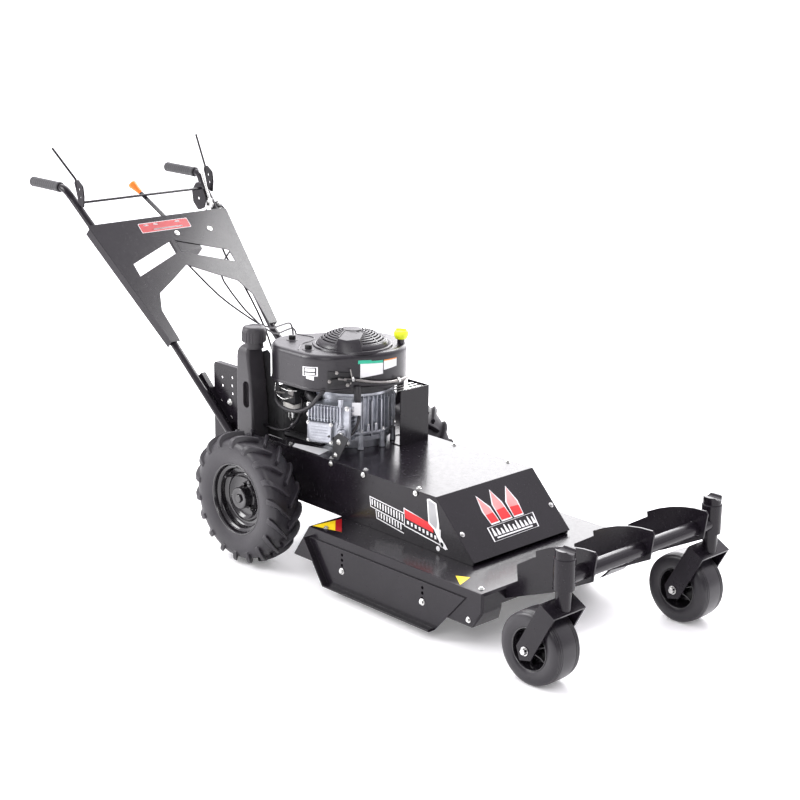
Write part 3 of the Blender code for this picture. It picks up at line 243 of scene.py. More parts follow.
class Piece:
    """Collects shapes into one mesh object. Every shape is a closed skin with its own finish."""

    def __init__(self, name):
        self.name = name
        self.bm = bmesh.new()
        self.finishes = []

    def painted(self, faces, material):
        """Gives faces a finish."""
        if material not in self.finishes:
            self.finishes.append(material)
        for face in faces:
            face.material_index = self.finishes.index(material)

    def skin(self, rings, material, loop=False):
        """Closed surface through rings of points; a ring of one point is a tip."""
        rows = [[self.bm.verts.new(p) for p in ring] for ring in rings]
        faces = []
        pairs = list(zip(rows, rows[1:]))
        if loop:
            pairs.append((rows[-1], rows[0]))
        for a, b in pairs:
            steps = max(len(a), len(b))
            for i in range(steps):
                j = (i + 1) % steps
                corners = [a[i % len(a)], a[j % len(a)], b[j % len(b)], b[i % len(b)]]
                corners = list(dict.fromkeys(corners))
                if len(corners) > 2:
                    faces.append(self.bm.faces.new(corners))
        if not loop:
            faces += [self.bm.faces.new(row) for row in (rows[0], rows[-1]) if len(row) > 2]
        self.painted(faces, material)

    def turned(self, profile, centre, axis, material, steps=48, loop=False):
        """Revolves (radius, distance along the axis) pairs."""
        axis = frame_of(axis)[0]
        rings = []
        for radius, along in profile:
            base = Vector(centre) + axis * along
            rings.append([base] if radius < 1e-6 else circle(base, radius, axis, steps))
        self.skin(rings, material, loop)

    def prism(self, outline, push, material):
        """Flat outline pushed along a vector."""
        push = Vector(push)
        self.skin([outline, [Vector(p) + push for p in outline]], material)

    def block(self, centre, size, material, turn=0.0):
        """Box turned about Z."""
        spin = Matrix.Rotation(turn, 3, "Z")
        half = Vector(size) / 2
        base = [Vector(centre) + spin @ Vector((x * half.x, y * half.y, -half.z))
            for x, y in ((-1, -1), (1, -1), (1, 1), (-1, 1))]
        self.prism(base, (0, 0, size[2]), material)

    def tube(self, points, radius, material, sides=12, count=8):
        """Round tube along a smooth line, or along the points themselves if count is 0."""
        line = curve_through(points, count) if count else [Vector(p) for p in points]
        axis, side, up = frame_of(line[1] - line[0])
        rings = []
        for i, point in enumerate(line):
            ahead = line[min(i + 1, len(line) - 1)] - line[max(i - 1, 0)]
            turn = axis.rotation_difference(ahead.normalized())
            axis, side, up = ahead.normalized(), turn @ side, turn @ up
            rings.append([point + side * (radius * cos(TURN * k / sides))
                + up * (radius * sin(TURN * k / sides)) for k in range(sides)])
        self.skin(rings, material)

    def bolt(self, centre, axis, radius, height, material=None, washer=0.0):
        """Hex head with a chamfered top, on a washer if it has one."""
        material = material or ZINC
        base = 0.0
        if washer:
            base = 0.0012
            self.turned([(0, 0), (washer, 0), (washer, base), (0, base)], centre, axis, material, 24)
        self.turned([(0, base), (radius, base), (radius, base + height * 0.75),
            (radius * 0.82, base + height), (0, base + height)], centre, axis, material, 6)

    def build(self, body, slot, *nodes, soften=0.0006, angle=38):
        """Makes the object, softens its edges, and fixes it to a CAD body."""
        mesh = mesh_of(self.bm, self.name)
        for material in self.finishes:
            mesh.materials.append(material)
        obj = placed(self.name, mesh)
        soften_edges(obj, soften, angle)
        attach(obj, body)
        if nodes:
            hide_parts(*nodes)
        return obj


def soften_edges(obj, width, angle):
    """Smooth shading with small rounded edges where faces meet sharply."""
    obj.data.shade_smooth()
    if width:
        bevel = obj.modifiers.new("edges", "BEVEL")
        bevel.width = width
        bevel.segments = 2
        bevel.limit_method = "ANGLE"
        bevel.angle_limit = radians(angle)
        bevel.harden_normals = False
    weighted = obj.modifiers.new("normals", "WEIGHTED_NORMAL")
    weighted.keep_sharp = True
    weighted.weight = 100


# ---------------------------------------------------------------- pieces kept from the CAD

NODE_FINISHES = {"frame_paint": POWDER, "rim_paint": RIM, "engine_plastic": HOUSING, "tank_plastic": TANK,
    "caster_plastic": DARK_PLASTIC, "tyre_rubber": TYRE, "caster_rubber": CASTER_TYRE, "grip_rubber": GRIP,
    "cord_rubber": SHEATH, "engine_aluminium": ALUMINIUM, "drive_casting": CASTING, "bare_steel": STEEL,
    "zinc_steel": ZINC, "knob_orange": ORANGE, "cap_yellow": YELLOW}
SPECIAL_FINISHES = {"muffler": HOT_STEEL, "blade_belt": BELT, "carburetor": CASTING}
THIN_CABLES = ("drive_cable", "throttle_cable")
CABLE_SWELL = 0.0008


def dress_cad_nodes():
    """Gives every CAD node its finish and small rounded edges, and draws the thin cables a little thicker."""
    for name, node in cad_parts.items():
        slot_name = node.material_slots[0].material.name.split(".")[0]
        material = SPECIAL_FINISHES.get(name) or NODE_FINISHES[slot_name]
        for holder in node.material_slots:
            holder.material = material
        for shading in ("custom_normal", "sharp_face", "sharp_edge"):
            if shading in node.data.attributes:
                node.data.attributes.remove(node.data.attributes[shading])
        weld = node.modifiers.new("weld", "WELD")
        weld.merge_threshold = 0.00002
        if name in THIN_CABLES:
            swell = node.modifiers.new("sheath", "DISPLACE")
            swell.strength = CABLE_SWELL
            swell.mid_level = 0.0
        soften_edges(node, 0.0007, 32)


# ---------------------------------------------------------------- wheels

TYRE_PROFILE = ((0.108, 0.04), (0.112, 0.048), (0.121, 0.0515), (0.135, 0.056), (0.152, 0.0575),
    (0.168, 0.0562), (0.18, 0.051), (0.187, 0.04), (0.19, 0.022), (0.191, 0.0))
LUG_LINE = (  # outer (across, radius), inner (across, radius), half width
    ((0.0, 0.2062), (0.0, 0.186), 0.0062),
    ((0.015, 0.206), (0.015, 0.186), 0.0066),
    ((0.03, 0.2048), (0.028, 0.184), 0.0072),
    ((0.042, 0.2018), (0.038, 0.18), 0.0082),
    ((0.0515, 0.1962), (0.044, 0.174), 0.0092),
    ((0.0575, 0.187), (0.049, 0.168), 0.01),
    ((0.0601, 0.176), (0.052, 0.163), 0.0096),
    ((0.0603, 0.166), (0.052, 0.158), 0.008),
)
LUGS_PER_SIDE = 18
LUG_SWEEP = 0.3


def rear_tyre(name):
    """Ag tyre: round carcass, two rows of chevron lugs that run down over the shoulders."""
    piece = Piece("lug_tyre_" + name)
    hub = middle("rear_tyre_" + name)
    loop = list(TYRE_PROFILE) + [(r, -t) for r, t in reversed(TYRE_PROFILE[:-1])]
    loop += [(0.104, -0.03), (0.104, 0.03)]
    piece.turned(loop, hub, ACROSS, TYRE, 96, loop=True)
    piece.turned([(0.1625, 0.056), (0.165, 0.0575), (0.1675, 0.056)], hub, ACROSS, TYRE, 96, loop=True)
    for hand in (1, -1):
        for k in range(LUGS_PER_SIDE):
            start = TURN * (k + (0.25 if hand > 0 else -0.25)) / LUGS_PER_SIDE
            rings = []
            for (to, ro), (ti, ri), half in LUG_LINE:
                centre = start + LUG_SWEEP * to / LUG_LINE[-1][0][0]
                ring = []
                for across, radius, wide in ((to, ro, half * 0.82), (ti, ri, half * 1.35)):
                    for edge in ((-1, 1) if wide < half else (1, -1)):
                        angle = centre + edge * wide / radius
                        ring.append(hub + Vector((radius * cos(angle), hand * across, radius * sin(angle))))
                rings.append(ring)
            piece.skin(rings, TYRE)
    piece.build("wheel_" + name, "tyre_rubber", "rear_tyre_" + name, soften=0.0016)


def rear_rim(name, side):
    """Pressed steel rim: rolled flange, stepped dish, hub with shaft end, valve stem and bolts."""
    piece = Piece("wheel_rim_" + name)
    hub = middle("rear_tyre_" + name)
    out = (0, side, 0)
    face = [(0.1065, 0.044), (0.112, 0.045), (0.1135, 0.0475), (0.112, 0.0492), (0.1085, 0.049),
        (0.1055, 0.0455), (0.1035, 0.036), (0.096, 0.033), (0.0935, 0.03), (0.0915, 0.016), (0.085, 0.012),
        (0.078, 0.011), (0.074, 0.014), (0.069, 0.015), (0.065, 0.0115), (0.056, 0.006), (0.038, 0.005),
        (0.0345, 0.0085), (0.0335, 0.034), (0.0315, 0.036), (0.022, 0.036), (0.02, 0.0345), (0.0135, 0.0345)]
    back = [(0.0135, -0.034), (0.032, -0.034), (0.0335, -0.005), (0.056, 0.002), (0.074, 0.008),
        (0.086, 0.008), (0.094, 0.0), (0.0975, -0.032), (0.104, -0.038), (0.1085, -0.049), (0.112, -0.0492),
        (0.1135, -0.0475), (0.112, -0.045), (0.1065, -0.04)]
    piece.turned(face + back, hub, out, RIM, 96, loop=True)
    piece.turned([(0, 0.03), (0.0124, 0.03), (0.0124, 0.0375), (0.0108, 0.0388), (0, 0.0388)], hub,
        out, RIM, 32)
    for angle in (188, 68, -52):
        spot = hub + Vector((0.054 * cos(radians(angle)), side * 0.0065, 0.054 * sin(radians(angle))))
        piece.bolt(spot, out, 0.0078, 0.007, ZINC if angle == 188 else RIM, washer=0.01)
    for k in range(5):
        angle = TURN * k / 5 + 0.4
        spot = hub + Vector((0.04 * cos(angle), side * 0.006, 0.04 * sin(angle)))
        piece.bolt(spot, out, 0.0056, 0.008, RIM, washer=0.0078)
    stem = hub + Vector((0.083 * cos(radians(140)), side * 0.012, 0.083 * sin(radians(140))))
    piece.turned([(0, 0), (0.007, 0), (0.006, 0.004), (0.004, 0.008), (0.0038, 0.024), (0, 0.0245)], stem,
        out, HOSE, 16)
    piece.build("wheel_" + name, "rim_paint", "rear_rim_" + name, soften=0.0008)


CASTER_TREAD = ((0.0605, 0.044), (0.068, 0.047), (0.08, 0.0488), (0.09, 0.0478), (0.0965, 0.0445),
    (0.0988, 0.042), (0.0992, 0.0408), (0.0978, 0.04), (0.0978, 0.0388), (0.0996, 0.0378), (0.1, 0.0352),
    (0.0984, 0.0344), (0.0984, 0.033), (0.1006, 0.032), (0.101, 0.0288), (0.0994, 0.028), (0.0994, 0.0264),
    (0.1012, 0.0254), (0.1016, 0.012), (0.1016, 0.0))


def caster_wheel(name):
    """Ribbed rubber tyre on a deep moulded rim with spokes between hub and bead."""
    body = "caster_wheel_" + name
    tyre = Piece("ribbed_tyre_" + name)
    hub = middle("caster_tyre_" + name)
    loop = list(CASTER_TREAD) + [(r, -t) for r, t in reversed(CASTER_TREAD[:-1])]
    loop += [(0.056, -0.04), (0.056, 0.04)]
    tyre.turned(loop, hub, ACROSS, CASTER_TYRE, 96, loop=True)
    tyre.build(body, "caster_rubber", "caster_tyre_" + name, soften=0.0005)
    rim = Piece("dished_rim_" + name)
    half = [(0.0575, 0.038), (0.0605, 0.0425), (0.06, 0.0448), (0.0575, 0.0452), (0.0555, 0.043),
        (0.053, 0.03), (0.049, 0.012), (0.044, 0.006), (0.03, 0.005), (0.0205, 0.007), (0.019, 0.04),
        (0.0178, 0.054), (0.0105, 0.0544)]
    rim.turned(half + [(r, -t) for r, t in reversed(half)], hub, ACROSS, RIM, 64, loop=True)
    for hand in (1, -1):
        for k in range(6):
            angle = TURN * k / 6 + 0.3
            along = Vector((cos(angle), 0, sin(angle)))
            across = Vector((-sin(angle), 0, cos(angle))) * 0.0022
            rings = []
            for radius, top in ((0.0185, 0.036), (0.034, 0.026), (0.051, 0.023)):
                base = hub + along * radius
                up = Vector((0, hand * top, 0))
                low = Vector((0, hand * 0.004, 0))
                rings.append([base - across + low, base + across + low, base + across + up,
                    base - across + up])
            rim.skin(rings, RIM)
    rim.build(body, "caster_plastic", "caster_rim_" + name, soften=0.0006)


def caster_hardware(name):
    """Bright hex heads on the wheel axle."""
    piece = Piece("caster_bolts_" + name)
    hub = middle("caster_tyre_" + name)
    for hand in (1, -1):
        piece.bolt(hub + Vector((0, hand * 0.0622, 0)), (0, hand, 0), 0.0095, 0.008, washer=0.0125)
    piece.build("caster_" + name, "zinc_steel")


# ---------------------------------------------------------------- engine

SHROUD_CIRCLES = ((-0.005, -0.083, 0.112), (0.09, -0.085, 0.108), (0.1, 0.035, 0.15))
SHROUD_LOW, SHROUD_HIGH = (corner.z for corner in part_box("blower_housing"))
GUARD = middle("finger_guard")


def shroud_reach(angle, inset):
    """Furthest reach of the housing's outline in a direction."""
    return max(x * cos(angle) + y * sin(angle) + r - inset for x, y, r in SHROUD_CIRCLES)


SHROUD_MIDDLE = (0.09, -0.03)


def wall_point(heading, z, lift):
    """A point beside the housing's wall, in a heading (degrees) from its middle, lifted off the hull."""
    heading = radians(heading)
    reaches = []
    for k in range(-40, 41):
        angle = heading + radians(1.5 * k)
        wall = shroud_reach(angle, -lift) - SHROUD_MIDDLE[0] * cos(angle) - SHROUD_MIDDLE[1] * sin(angle)
        reaches.append(wall / cos(angle - heading))
    reach = min(reaches)
    return at(SHROUD_MIDDLE[0] + reach * cos(heading), SHROUD_MIDDLE[1] + reach * sin(heading), z)


def shroud_ring(z, inset, steps=96):
    """The housing's outline, pulled in by an inset, at a height."""
    ring = []
    for k in range(steps):
        angle = TURN * k / steps
        small = 0.001
        reach = shroud_reach(angle, inset)
        slope = (shroud_reach(angle + small, inset) - shroud_reach(angle - small, inset)) / (2 * small)
        ring.append(at(reach * cos(angle) - slope * sin(angle), reach * sin(angle) + slope * cos(angle), z))
    return ring


def blower_housing():
    """Moulded engine cover: skirt with a lip, shoulder seam, rolled top edge and a collar round the guard."""
    piece = Piece("engine_cover")
    low, high = SHROUD_LOW, SHROUD_HIGH
    stations = [(low, 0.003), (low, 0.0), (low + 0.007, 0.0), (low + 0.0085, 0.0016), (high - 0.028, 0.0012),
        (high - 0.026, 0.0004), (high - 0.017, 0.0004)]
    roll = 0.015
    for k in range(1, 8):
        angle = k / 7 * pi / 2
        stations.append((high - roll * (1 - sin(angle)) - 0.002, 0.0006 + roll * (1 - cos(angle))))
    rings = [shroud_ring(z, inset) for z, inset in stations]
    piece.skin(rings, HOUSING)
    ring = [(0.1125, -0.004), (0.112, 0.0035), (0.115, 0.0055), (0.1225, 0.005), (0.126, -0.004)]
    piece.turned(ring, (GUARD.x, GUARD.y, high - 0.0025), UP, HOUSING, 96, loop=True)
    for x, y in ((-0.052, -0.105), (0.072, -0.146)):
        piece.turned([(0.02, -0.002), (0.02, 0.0005), (0.0175, 0.0022), (0, 0.0022)], at(x, y, high - 0.002),
            UP, HOUSING, 32)
    crease = ((-0.096, -0.048), (-0.03, -0.038), (0.0, -0.075), (0.01, -0.12), (0.06, -0.176))
    piece.tube([at(x, y, high - 0.0018) for x, y in crease], 0.0022, HOUSING, 8, 10)
    piece.build("chassis", "engine_plastic", "blower_housing", soften=0.0008)


GUARD_LOW, GUARD_HIGH = (corner.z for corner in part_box("finger_guard"))
GUARD_R = 0.11
BAR_DEPTH = 0.005
SECTOR_LIFT = 0.0008


def dome(radius, lift=0.0):
    """Height of the finger guard's dome at a distance from its centre."""
    share = min(radius / GUARD_R, 1.0)
    return GUARD_LOW + 0.007 + (GUARD_HIGH - GUARD_LOW - 0.0085) * (1 - share ** 2.6) + lift


def on_guard(radius, angle, lift):
    """A point on the guard's dome, at a distance from its centre and an angle, lifted off it."""
    return Vector((GUARD.x + radius * cos(angle), GUARD.y + radius * sin(angle), dome(radius, lift)))


def guard_bar(piece, inner, outer, start, end):
    """Curved bar of the guard between two radii, running round the dome from one angle to another."""
    corners = ((inner, 0.0), (outer, 0.0), (outer, -BAR_DEPTH), (inner, -BAR_DEPTH))
    angles = [start + (end - start) * k / 18 for k in range(19)]
    piece.skin([[on_guard(radius, angle, lift) for radius, lift in corners] for angle in angles], HOUSING)


def guard_sector(piece, inner, outer, start, end):
    """Raised sector of the guard, running outwards along the dome."""
    corners = ((start, SECTOR_LIFT), (end, SECTOR_LIFT), (end, -BAR_DEPTH), (start, -BAR_DEPTH))
    radii = [inner + (outer - inner) * k / 8 for k in range(9)]
    piece.skin([[on_guard(radius, angle, lift) for angle, lift in corners] for radius in radii], HOUSING)


def finger_guard():
    """Slotted dome over the fan: curved and radial bars, solid sectors and the starter's block."""
    piece = Piece("fan_guard")
    base = [(0, GUARD_LOW - GUARD.z - 0.002), (GUARD_R + 0.0005, GUARD_LOW - GUARD.z - 0.002)]
    under = [(r, dome(r, -0.0055) - GUARD.z) for r in (0.104, 0.096, 0.085, 0.07, 0.05, 0.03)]
    piece.turned(base + [(GUARD_R + 0.0005, GUARD_LOW - GUARD.z + 0.004)] + under
        + [(0, dome(0, -0.0055) - GUARD.z)], GUARD, UP, DARK_PLASTIC, 96)
    rim = [(0.102, dome(0.102, -0.004)), (0.102, dome(0.102, 0.001)), (0.106, dome(0.106, 0.0012)),
        (0.1108, GUARD_LOW + 0.004), (0.1108, GUARD_LOW)]
    piece.turned([(r, z - GUARD.z) for r, z in rim], GUARD, UP, HOUSING, 96, loop=True)
    for k in range(9):
        inner = 0.026 + 0.0088 * k
        for start, end in ((-26, 46), (165, 286)):
            guard_bar(piece, inner, inner + 0.0046, radians(start), radians(end))
    for angle in (-26, 10, 165, 205, 245, 286):
        spread = radians(1.5)
        guard_sector(piece, 0.024, 0.1035, radians(angle) - spread, radians(angle) + spread)
    guard_sector(piece, 0.024, 0.106, radians(46), radians(52))
    for k in range(14):
        angle = radians(60 + 7.6 * k)
        guard_sector(piece, 0.072, 0.1035, angle - 0.028, angle + 0.028)
    guard_sector(piece, 0.0, 0.074, radians(50), radians(166))
    guard_sector(piece, 0.0, 0.1035, radians(284), radians(334))
    foot = ((0.108, -0.036), (0.16, -0.112), (0.192, -0.097), (0.219, -0.06), (0.172, -0.004))
    crown = ((0.106, -0.03), (0.152, -0.099), (0.178, -0.086), (0.192, -0.045), (0.158, 0.002))
    rings = [[at(x, y, SHROUD_HIGH - 0.004) for x, y in foot],
        [at(x * 0.35 + u * 0.65, y * 0.35 + v * 0.65, 0.682) for (x, y), (u, v) in zip(foot, crown)],
        [at(x, y, z) for (x, y), z in zip(crown, (0.7005, 0.6935, 0.69, 0.691, 0.6975))]]
    piece.skin(rings, HOUSING)
    for start, end in (((0.148, -0.092), (0.108, -0.03)), ((0.156, -0.004), (0.118, -0.022))):
        line = [at(start[0] + (end[0] - start[0]) * t, start[1] + (end[1] - start[1]) * t, 0.6955 + 0.006 * t)
            for t in (0, 0.5, 1)]
        piece.tube(line, 0.0018, HOUSING, 8, 4)
    piece.turned([(0, -0.004), (0.028, -0.004), (0.028, 0.0008), (0.0255, 0.0016), (0, 0.0016)],
        (GUARD.x, GUARD.y, dome(0.0, 0.0)), UP, HOUSING, 48)
    piece.build("chassis", "engine_plastic", "finger_guard", soften=0.0005)


LABEL_DEPTH = 0.0012


def wall_label(piece, left, right, material, lift):
    """Thin sticker on the housing wall between two upright edges, each (heading, low z, high z)."""
    rings = []
    for k in range(13):
        share = k / 12
        heading, low, high = (a + (b - a) * share for a, b in zip(left, right))
        corners = ((low, lift), (high, lift), (high, lift - LABEL_DEPTH), (low, lift - LABEL_DEPTH))
        rings.append([wall_point(heading, z, reach) for z, reach in corners])
    piece.skin(rings, material)


def housing_labels():
    """Plain stickers on the housing, with coloured heads and no lettering."""
    piece = Piece("housing_labels")
    wall_label(piece, (-15.5, 0.5775, 0.622), (11.6, 0.586, 0.62), WHITE, -0.0006)
    wall_label(piece, (-18.5, 0.622, 0.633), (11.6, 0.62, 0.631), GREEN, -0.0006)
    wall_label(piece, (12.8, 0.597, 0.625), (28.6, 0.6025, 0.625), WHITE, -0.0006)
    wall_label(piece, (12.8, 0.625, 0.6335), (28.6, 0.625, 0.6335), AMBER, -0.0006)
    wall_label(piece, (-86.8, 0.584, 0.613), (-68.0, 0.588, 0.617), WHITE, -0.0006)
    wall_label(piece, (-82.0, 0.5775, 0.585), (-72.5, 0.574, 0.589), WHITE, -0.0006)
    wall_label(piece, (-85.2, 0.5865, 0.6105), (-69.6, 0.5905, 0.6145), HOUSING, -0.0003)
    wall_label(piece, (-83.6, 0.599, 0.608), (-71.2, 0.602, 0.612), WHITE, 0.0)
    wall_label(piece, (-83.6, 0.589, 0.595), (-71.2, 0.5925, 0.598), WHITE, 0.0)
    piece.build("chassis", "engine_plastic", soften=0)


def governor_bracket():
    """Black bracket and connector on the housing wall beside the breather pipe, with its bolts and a rod."""
    piece = Piece("governor_bracket")
    wall_label(piece, (-57, 0.552, 0.606), (-31, 0.566, 0.598), DARK_PLASTIC, 0.003)
    wall_label(piece, (-52, 0.56, 0.582), (-38, 0.566, 0.586), DARK_PLASTIC, 0.013)
    wall_label(piece, (-35, 0.572, 0.582), (-24, 0.57, 0.579), DARK_PLASTIC, 0.015)
    for heading, z in ((-47, 0.6), (-55, 0.574), (-33, 0.56)):
        foot = wall_point(heading, z, 0.0028)
        out = wall_point(heading, z, 0.0128) - foot
        piece.bolt(foot, out, 0.004, 0.0045, STEEL, washer=0.0058)
    line = [wall_point(h, z, 0.0095) for h, z in ((-30, 0.61), (-29, 0.596), (-28, 0.58), (-30, 0.564))]
    piece.tube(line, 0.0022, STEEL, 8, 8)
    piece.build("chassis", "engine_plastic", soften=0.0008)


def breather_pipe():
    """Bright pipe round the front of the housing, with clips."""
    piece = Piece("breather_pipe")
    line = [wall_point(h, z, 0.009) for h, z in ((-45, 0.582), (-30, 0.577), (-18, 0.573), (-2, 0.565),
        (14, 0.5595), (28, 0.5575), (42, 0.555))]
    piece.tube(line, 0.0046, STEEL, 20, 10)
    for heading, z in ((-27, 0.5762), (27, 0.5576)):
        spot = wall_point(heading, z, 0.009)
        ahead = wall_point(heading + 2, z, 0.009) - spot
        piece.turned([(0.0047, -0.004), (0.0072, -0.004), (0.0072, 0.004), (0.0047, 0.004)], spot, ahead,
            ZINC, 24, loop=True)
        piece.bolt(spot + Vector((0, 0, 0.0065)), UP, 0.004, 0.0045)
    piece.build("chassis", "zinc_steel", "breather_tube", soften=0.0002)


def cleaner_knob(number):
    """Ribbed hand knob that holds the air cleaner cover."""
    node = "air_cleaner_knob_%d" % number
    low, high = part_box(node)
    centre = middle(node)
    radius = (high.x - low.x) / 2
    piece = Piece("cleaner_knob_%d" % number)
    tall = high.z - low.z
    piece.turned([(0, 0), (radius * 0.7, 0), (radius * 0.7, tall * 0.3), (radius * 0.9, tall * 0.35),
        (radius * 0.9, tall - 0.0012), (radius * 0.75, tall), (0, tall)], (centre.x, centre.y, low.z), UP,
        DARK_PLASTIC, 32)
    for k in range(10):
        angle = TURN * k / 10
        spot = (centre.x + radius * 0.86 * cos(angle), centre.y + radius * 0.86 * sin(angle),
            low.z + tall * 0.35)
        piece.turned([(0, 0), (radius * 0.15, 0), (radius * 0.13, tall * 0.58), (0, tall * 0.58)], spot, UP,
            DARK_PLASTIC, 8)
    piece.build("cleaner_knob_%d" % number, "engine_plastic", node, soften=0.0004)


def dipstick_cap():
    """Bright finger-grip cap with a skirt, a cross bar and the dipstick's rod."""
    low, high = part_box("oil_cap")
    centre = middle("oil_cap")
    piece = Piece("dipstick_cap")
    radius = (high.x - low.x) / 2
    base = high.z - 0.0315
    piece.turned([(0, 0), (radius * 0.8, 0), (radius * 0.86, 0.004), (radius * 0.97, 0.01),
        (radius * 0.97, 0.02), (radius * 0.9, 0.0245), (radius * 0.55, 0.0262), (0, 0.0262)],
        (centre.x, centre.y, base), UP, YELLOW, 40)
    for k in range(14):
        angle = TURN * k / 14
        spot = (centre.x + radius * 0.93 * cos(angle), centre.y + radius * 0.93 * sin(angle), base + 0.007)
        piece.turned([(0, 0), (0.0016, 0.001), (0.0016, 0.013), (0, 0.014)], spot, UP, YELLOW, 8)
    bar = rounded_outline(radius * 1.5, 0.009, 0.004)
    spin = Matrix.Rotation(radians(30), 3, "Z")
    rings = [[Vector((centre.x, centre.y, z)) + spin @ Vector((x * s, y * s, 0)) for x, y in bar]
        for z, s in ((base + 0.025, 1.0), (high.z - 0.0015, 0.96), (high.z, 0.88))]
    piece.skin(rings, YELLOW)
    piece.turned([(0, 0), (0.0035, 0), (0.0035, base + 0.002 - low.z), (0, base + 0.002 - low.z)],
        (centre.x, centre.y, low.z), UP, STEEL, 12)
    piece.build("dipstick", "cap_yellow", "oil_cap", soften=0.0005)


CRANK = (0.11, 0.0)


def round_crank(radius, angle, z):
    """A point round the crankshaft axis, its angle in degrees from straight ahead."""
    return at(CRANK[0] + radius * cos(radians(angle)), CRANK[1] + radius * sin(radians(angle)), z)


def crankcase_details():
    """Base flange, mounting legs with bolts, cast ribs and stub bosses round the crankcase, and a dark ring
    under the housing that is painted shade.
    """
    piece = Piece("crankcase_castings")
    centre = at(*CRANK, 0)
    ring = [(0.12, 0.4), (0.1325, 0.4), (0.1335, 0.4015), (0.1335, 0.4075), (0.1325, 0.409), (0.12, 0.409)]
    piece.turned(ring, centre, UP, ALUMINIUM, 96, loop=True)
    ring = [(0.11, 0.52), (0.13, 0.52), (0.131, 0.5215), (0.131, 0.529), (0.11, 0.529)]
    piece.turned(ring, centre, UP, ALUMINIUM, 96, loop=True)
    # Dark ring under the housing: painted shade, standing in for the shadow between the housing and the
    # crankcase.
    collar = [(0.118, 0.5295), (0.1322, 0.5295), (0.1322, 0.55), (0.118, 0.55)]
    piece.turned(collar, centre, UP, CASTING, 72, loop=True)
    rib_root, half_turn = 0.11, 0.55
    rib_edge = ((0.409, 0.1315), (0.43, 0.129), (0.505, 0.129), (0.52, 0.13))
    for angle in range(-34, 262, 7):
        start, end = angle - half_turn, angle + half_turn
        rings = [[round_crank(rib_root, start, z), round_crank(reach, start, z), round_crank(reach, end, z),
            round_crank(rib_root, end, z)] for z, reach in rib_edge]
        piece.skin(rings, ALUMINIUM)
    for angle in (-30, 4, 40, 160, 200):
        foot = round_crank(0.128, angle, 0.353)
        piece.turned([(0, 0), (0.0095, 0), (0.0095, 0.004), (0.008, 0.012), (0.008, 0.046), (0, 0.046)], foot,
            UP, ALUMINIUM, 20)
        piece.bolt(foot + Vector((0, 0, 0.056)), UP, 0.0058, 0.005, washer=0.0085)
    for angle in (-20, -8, 18, 30, 54):
        piece.turned([(0, 0), (0.0062, 0), (0.0055, 0.02), (0, 0.02)], round_crank(0.129, angle, 0.409), UP,
            ALUMINIUM, 16)
        piece.bolt(round_crank(0.129, angle, 0.429), UP, 0.0046, 0.004)
    piece.build("chassis", "engine_aluminium", soften=0.0008)


HEAD_TURN = radians(-65)


def on_head(out, across, z):
    """A point on the cylinder: out along its axis from the crankshaft, and across to its left."""
    return at(CRANK[0] + out * cos(HEAD_TURN) - across * sin(HEAD_TURN),
        CRANK[1] + out * sin(HEAD_TURN) + across * cos(HEAD_TURN), z)


def head_slab(piece, out, across, z, size, material):
    """Block on the cylinder, lined up with its axis."""
    piece.block(on_head(out, across, z), size, material, HEAD_TURN)


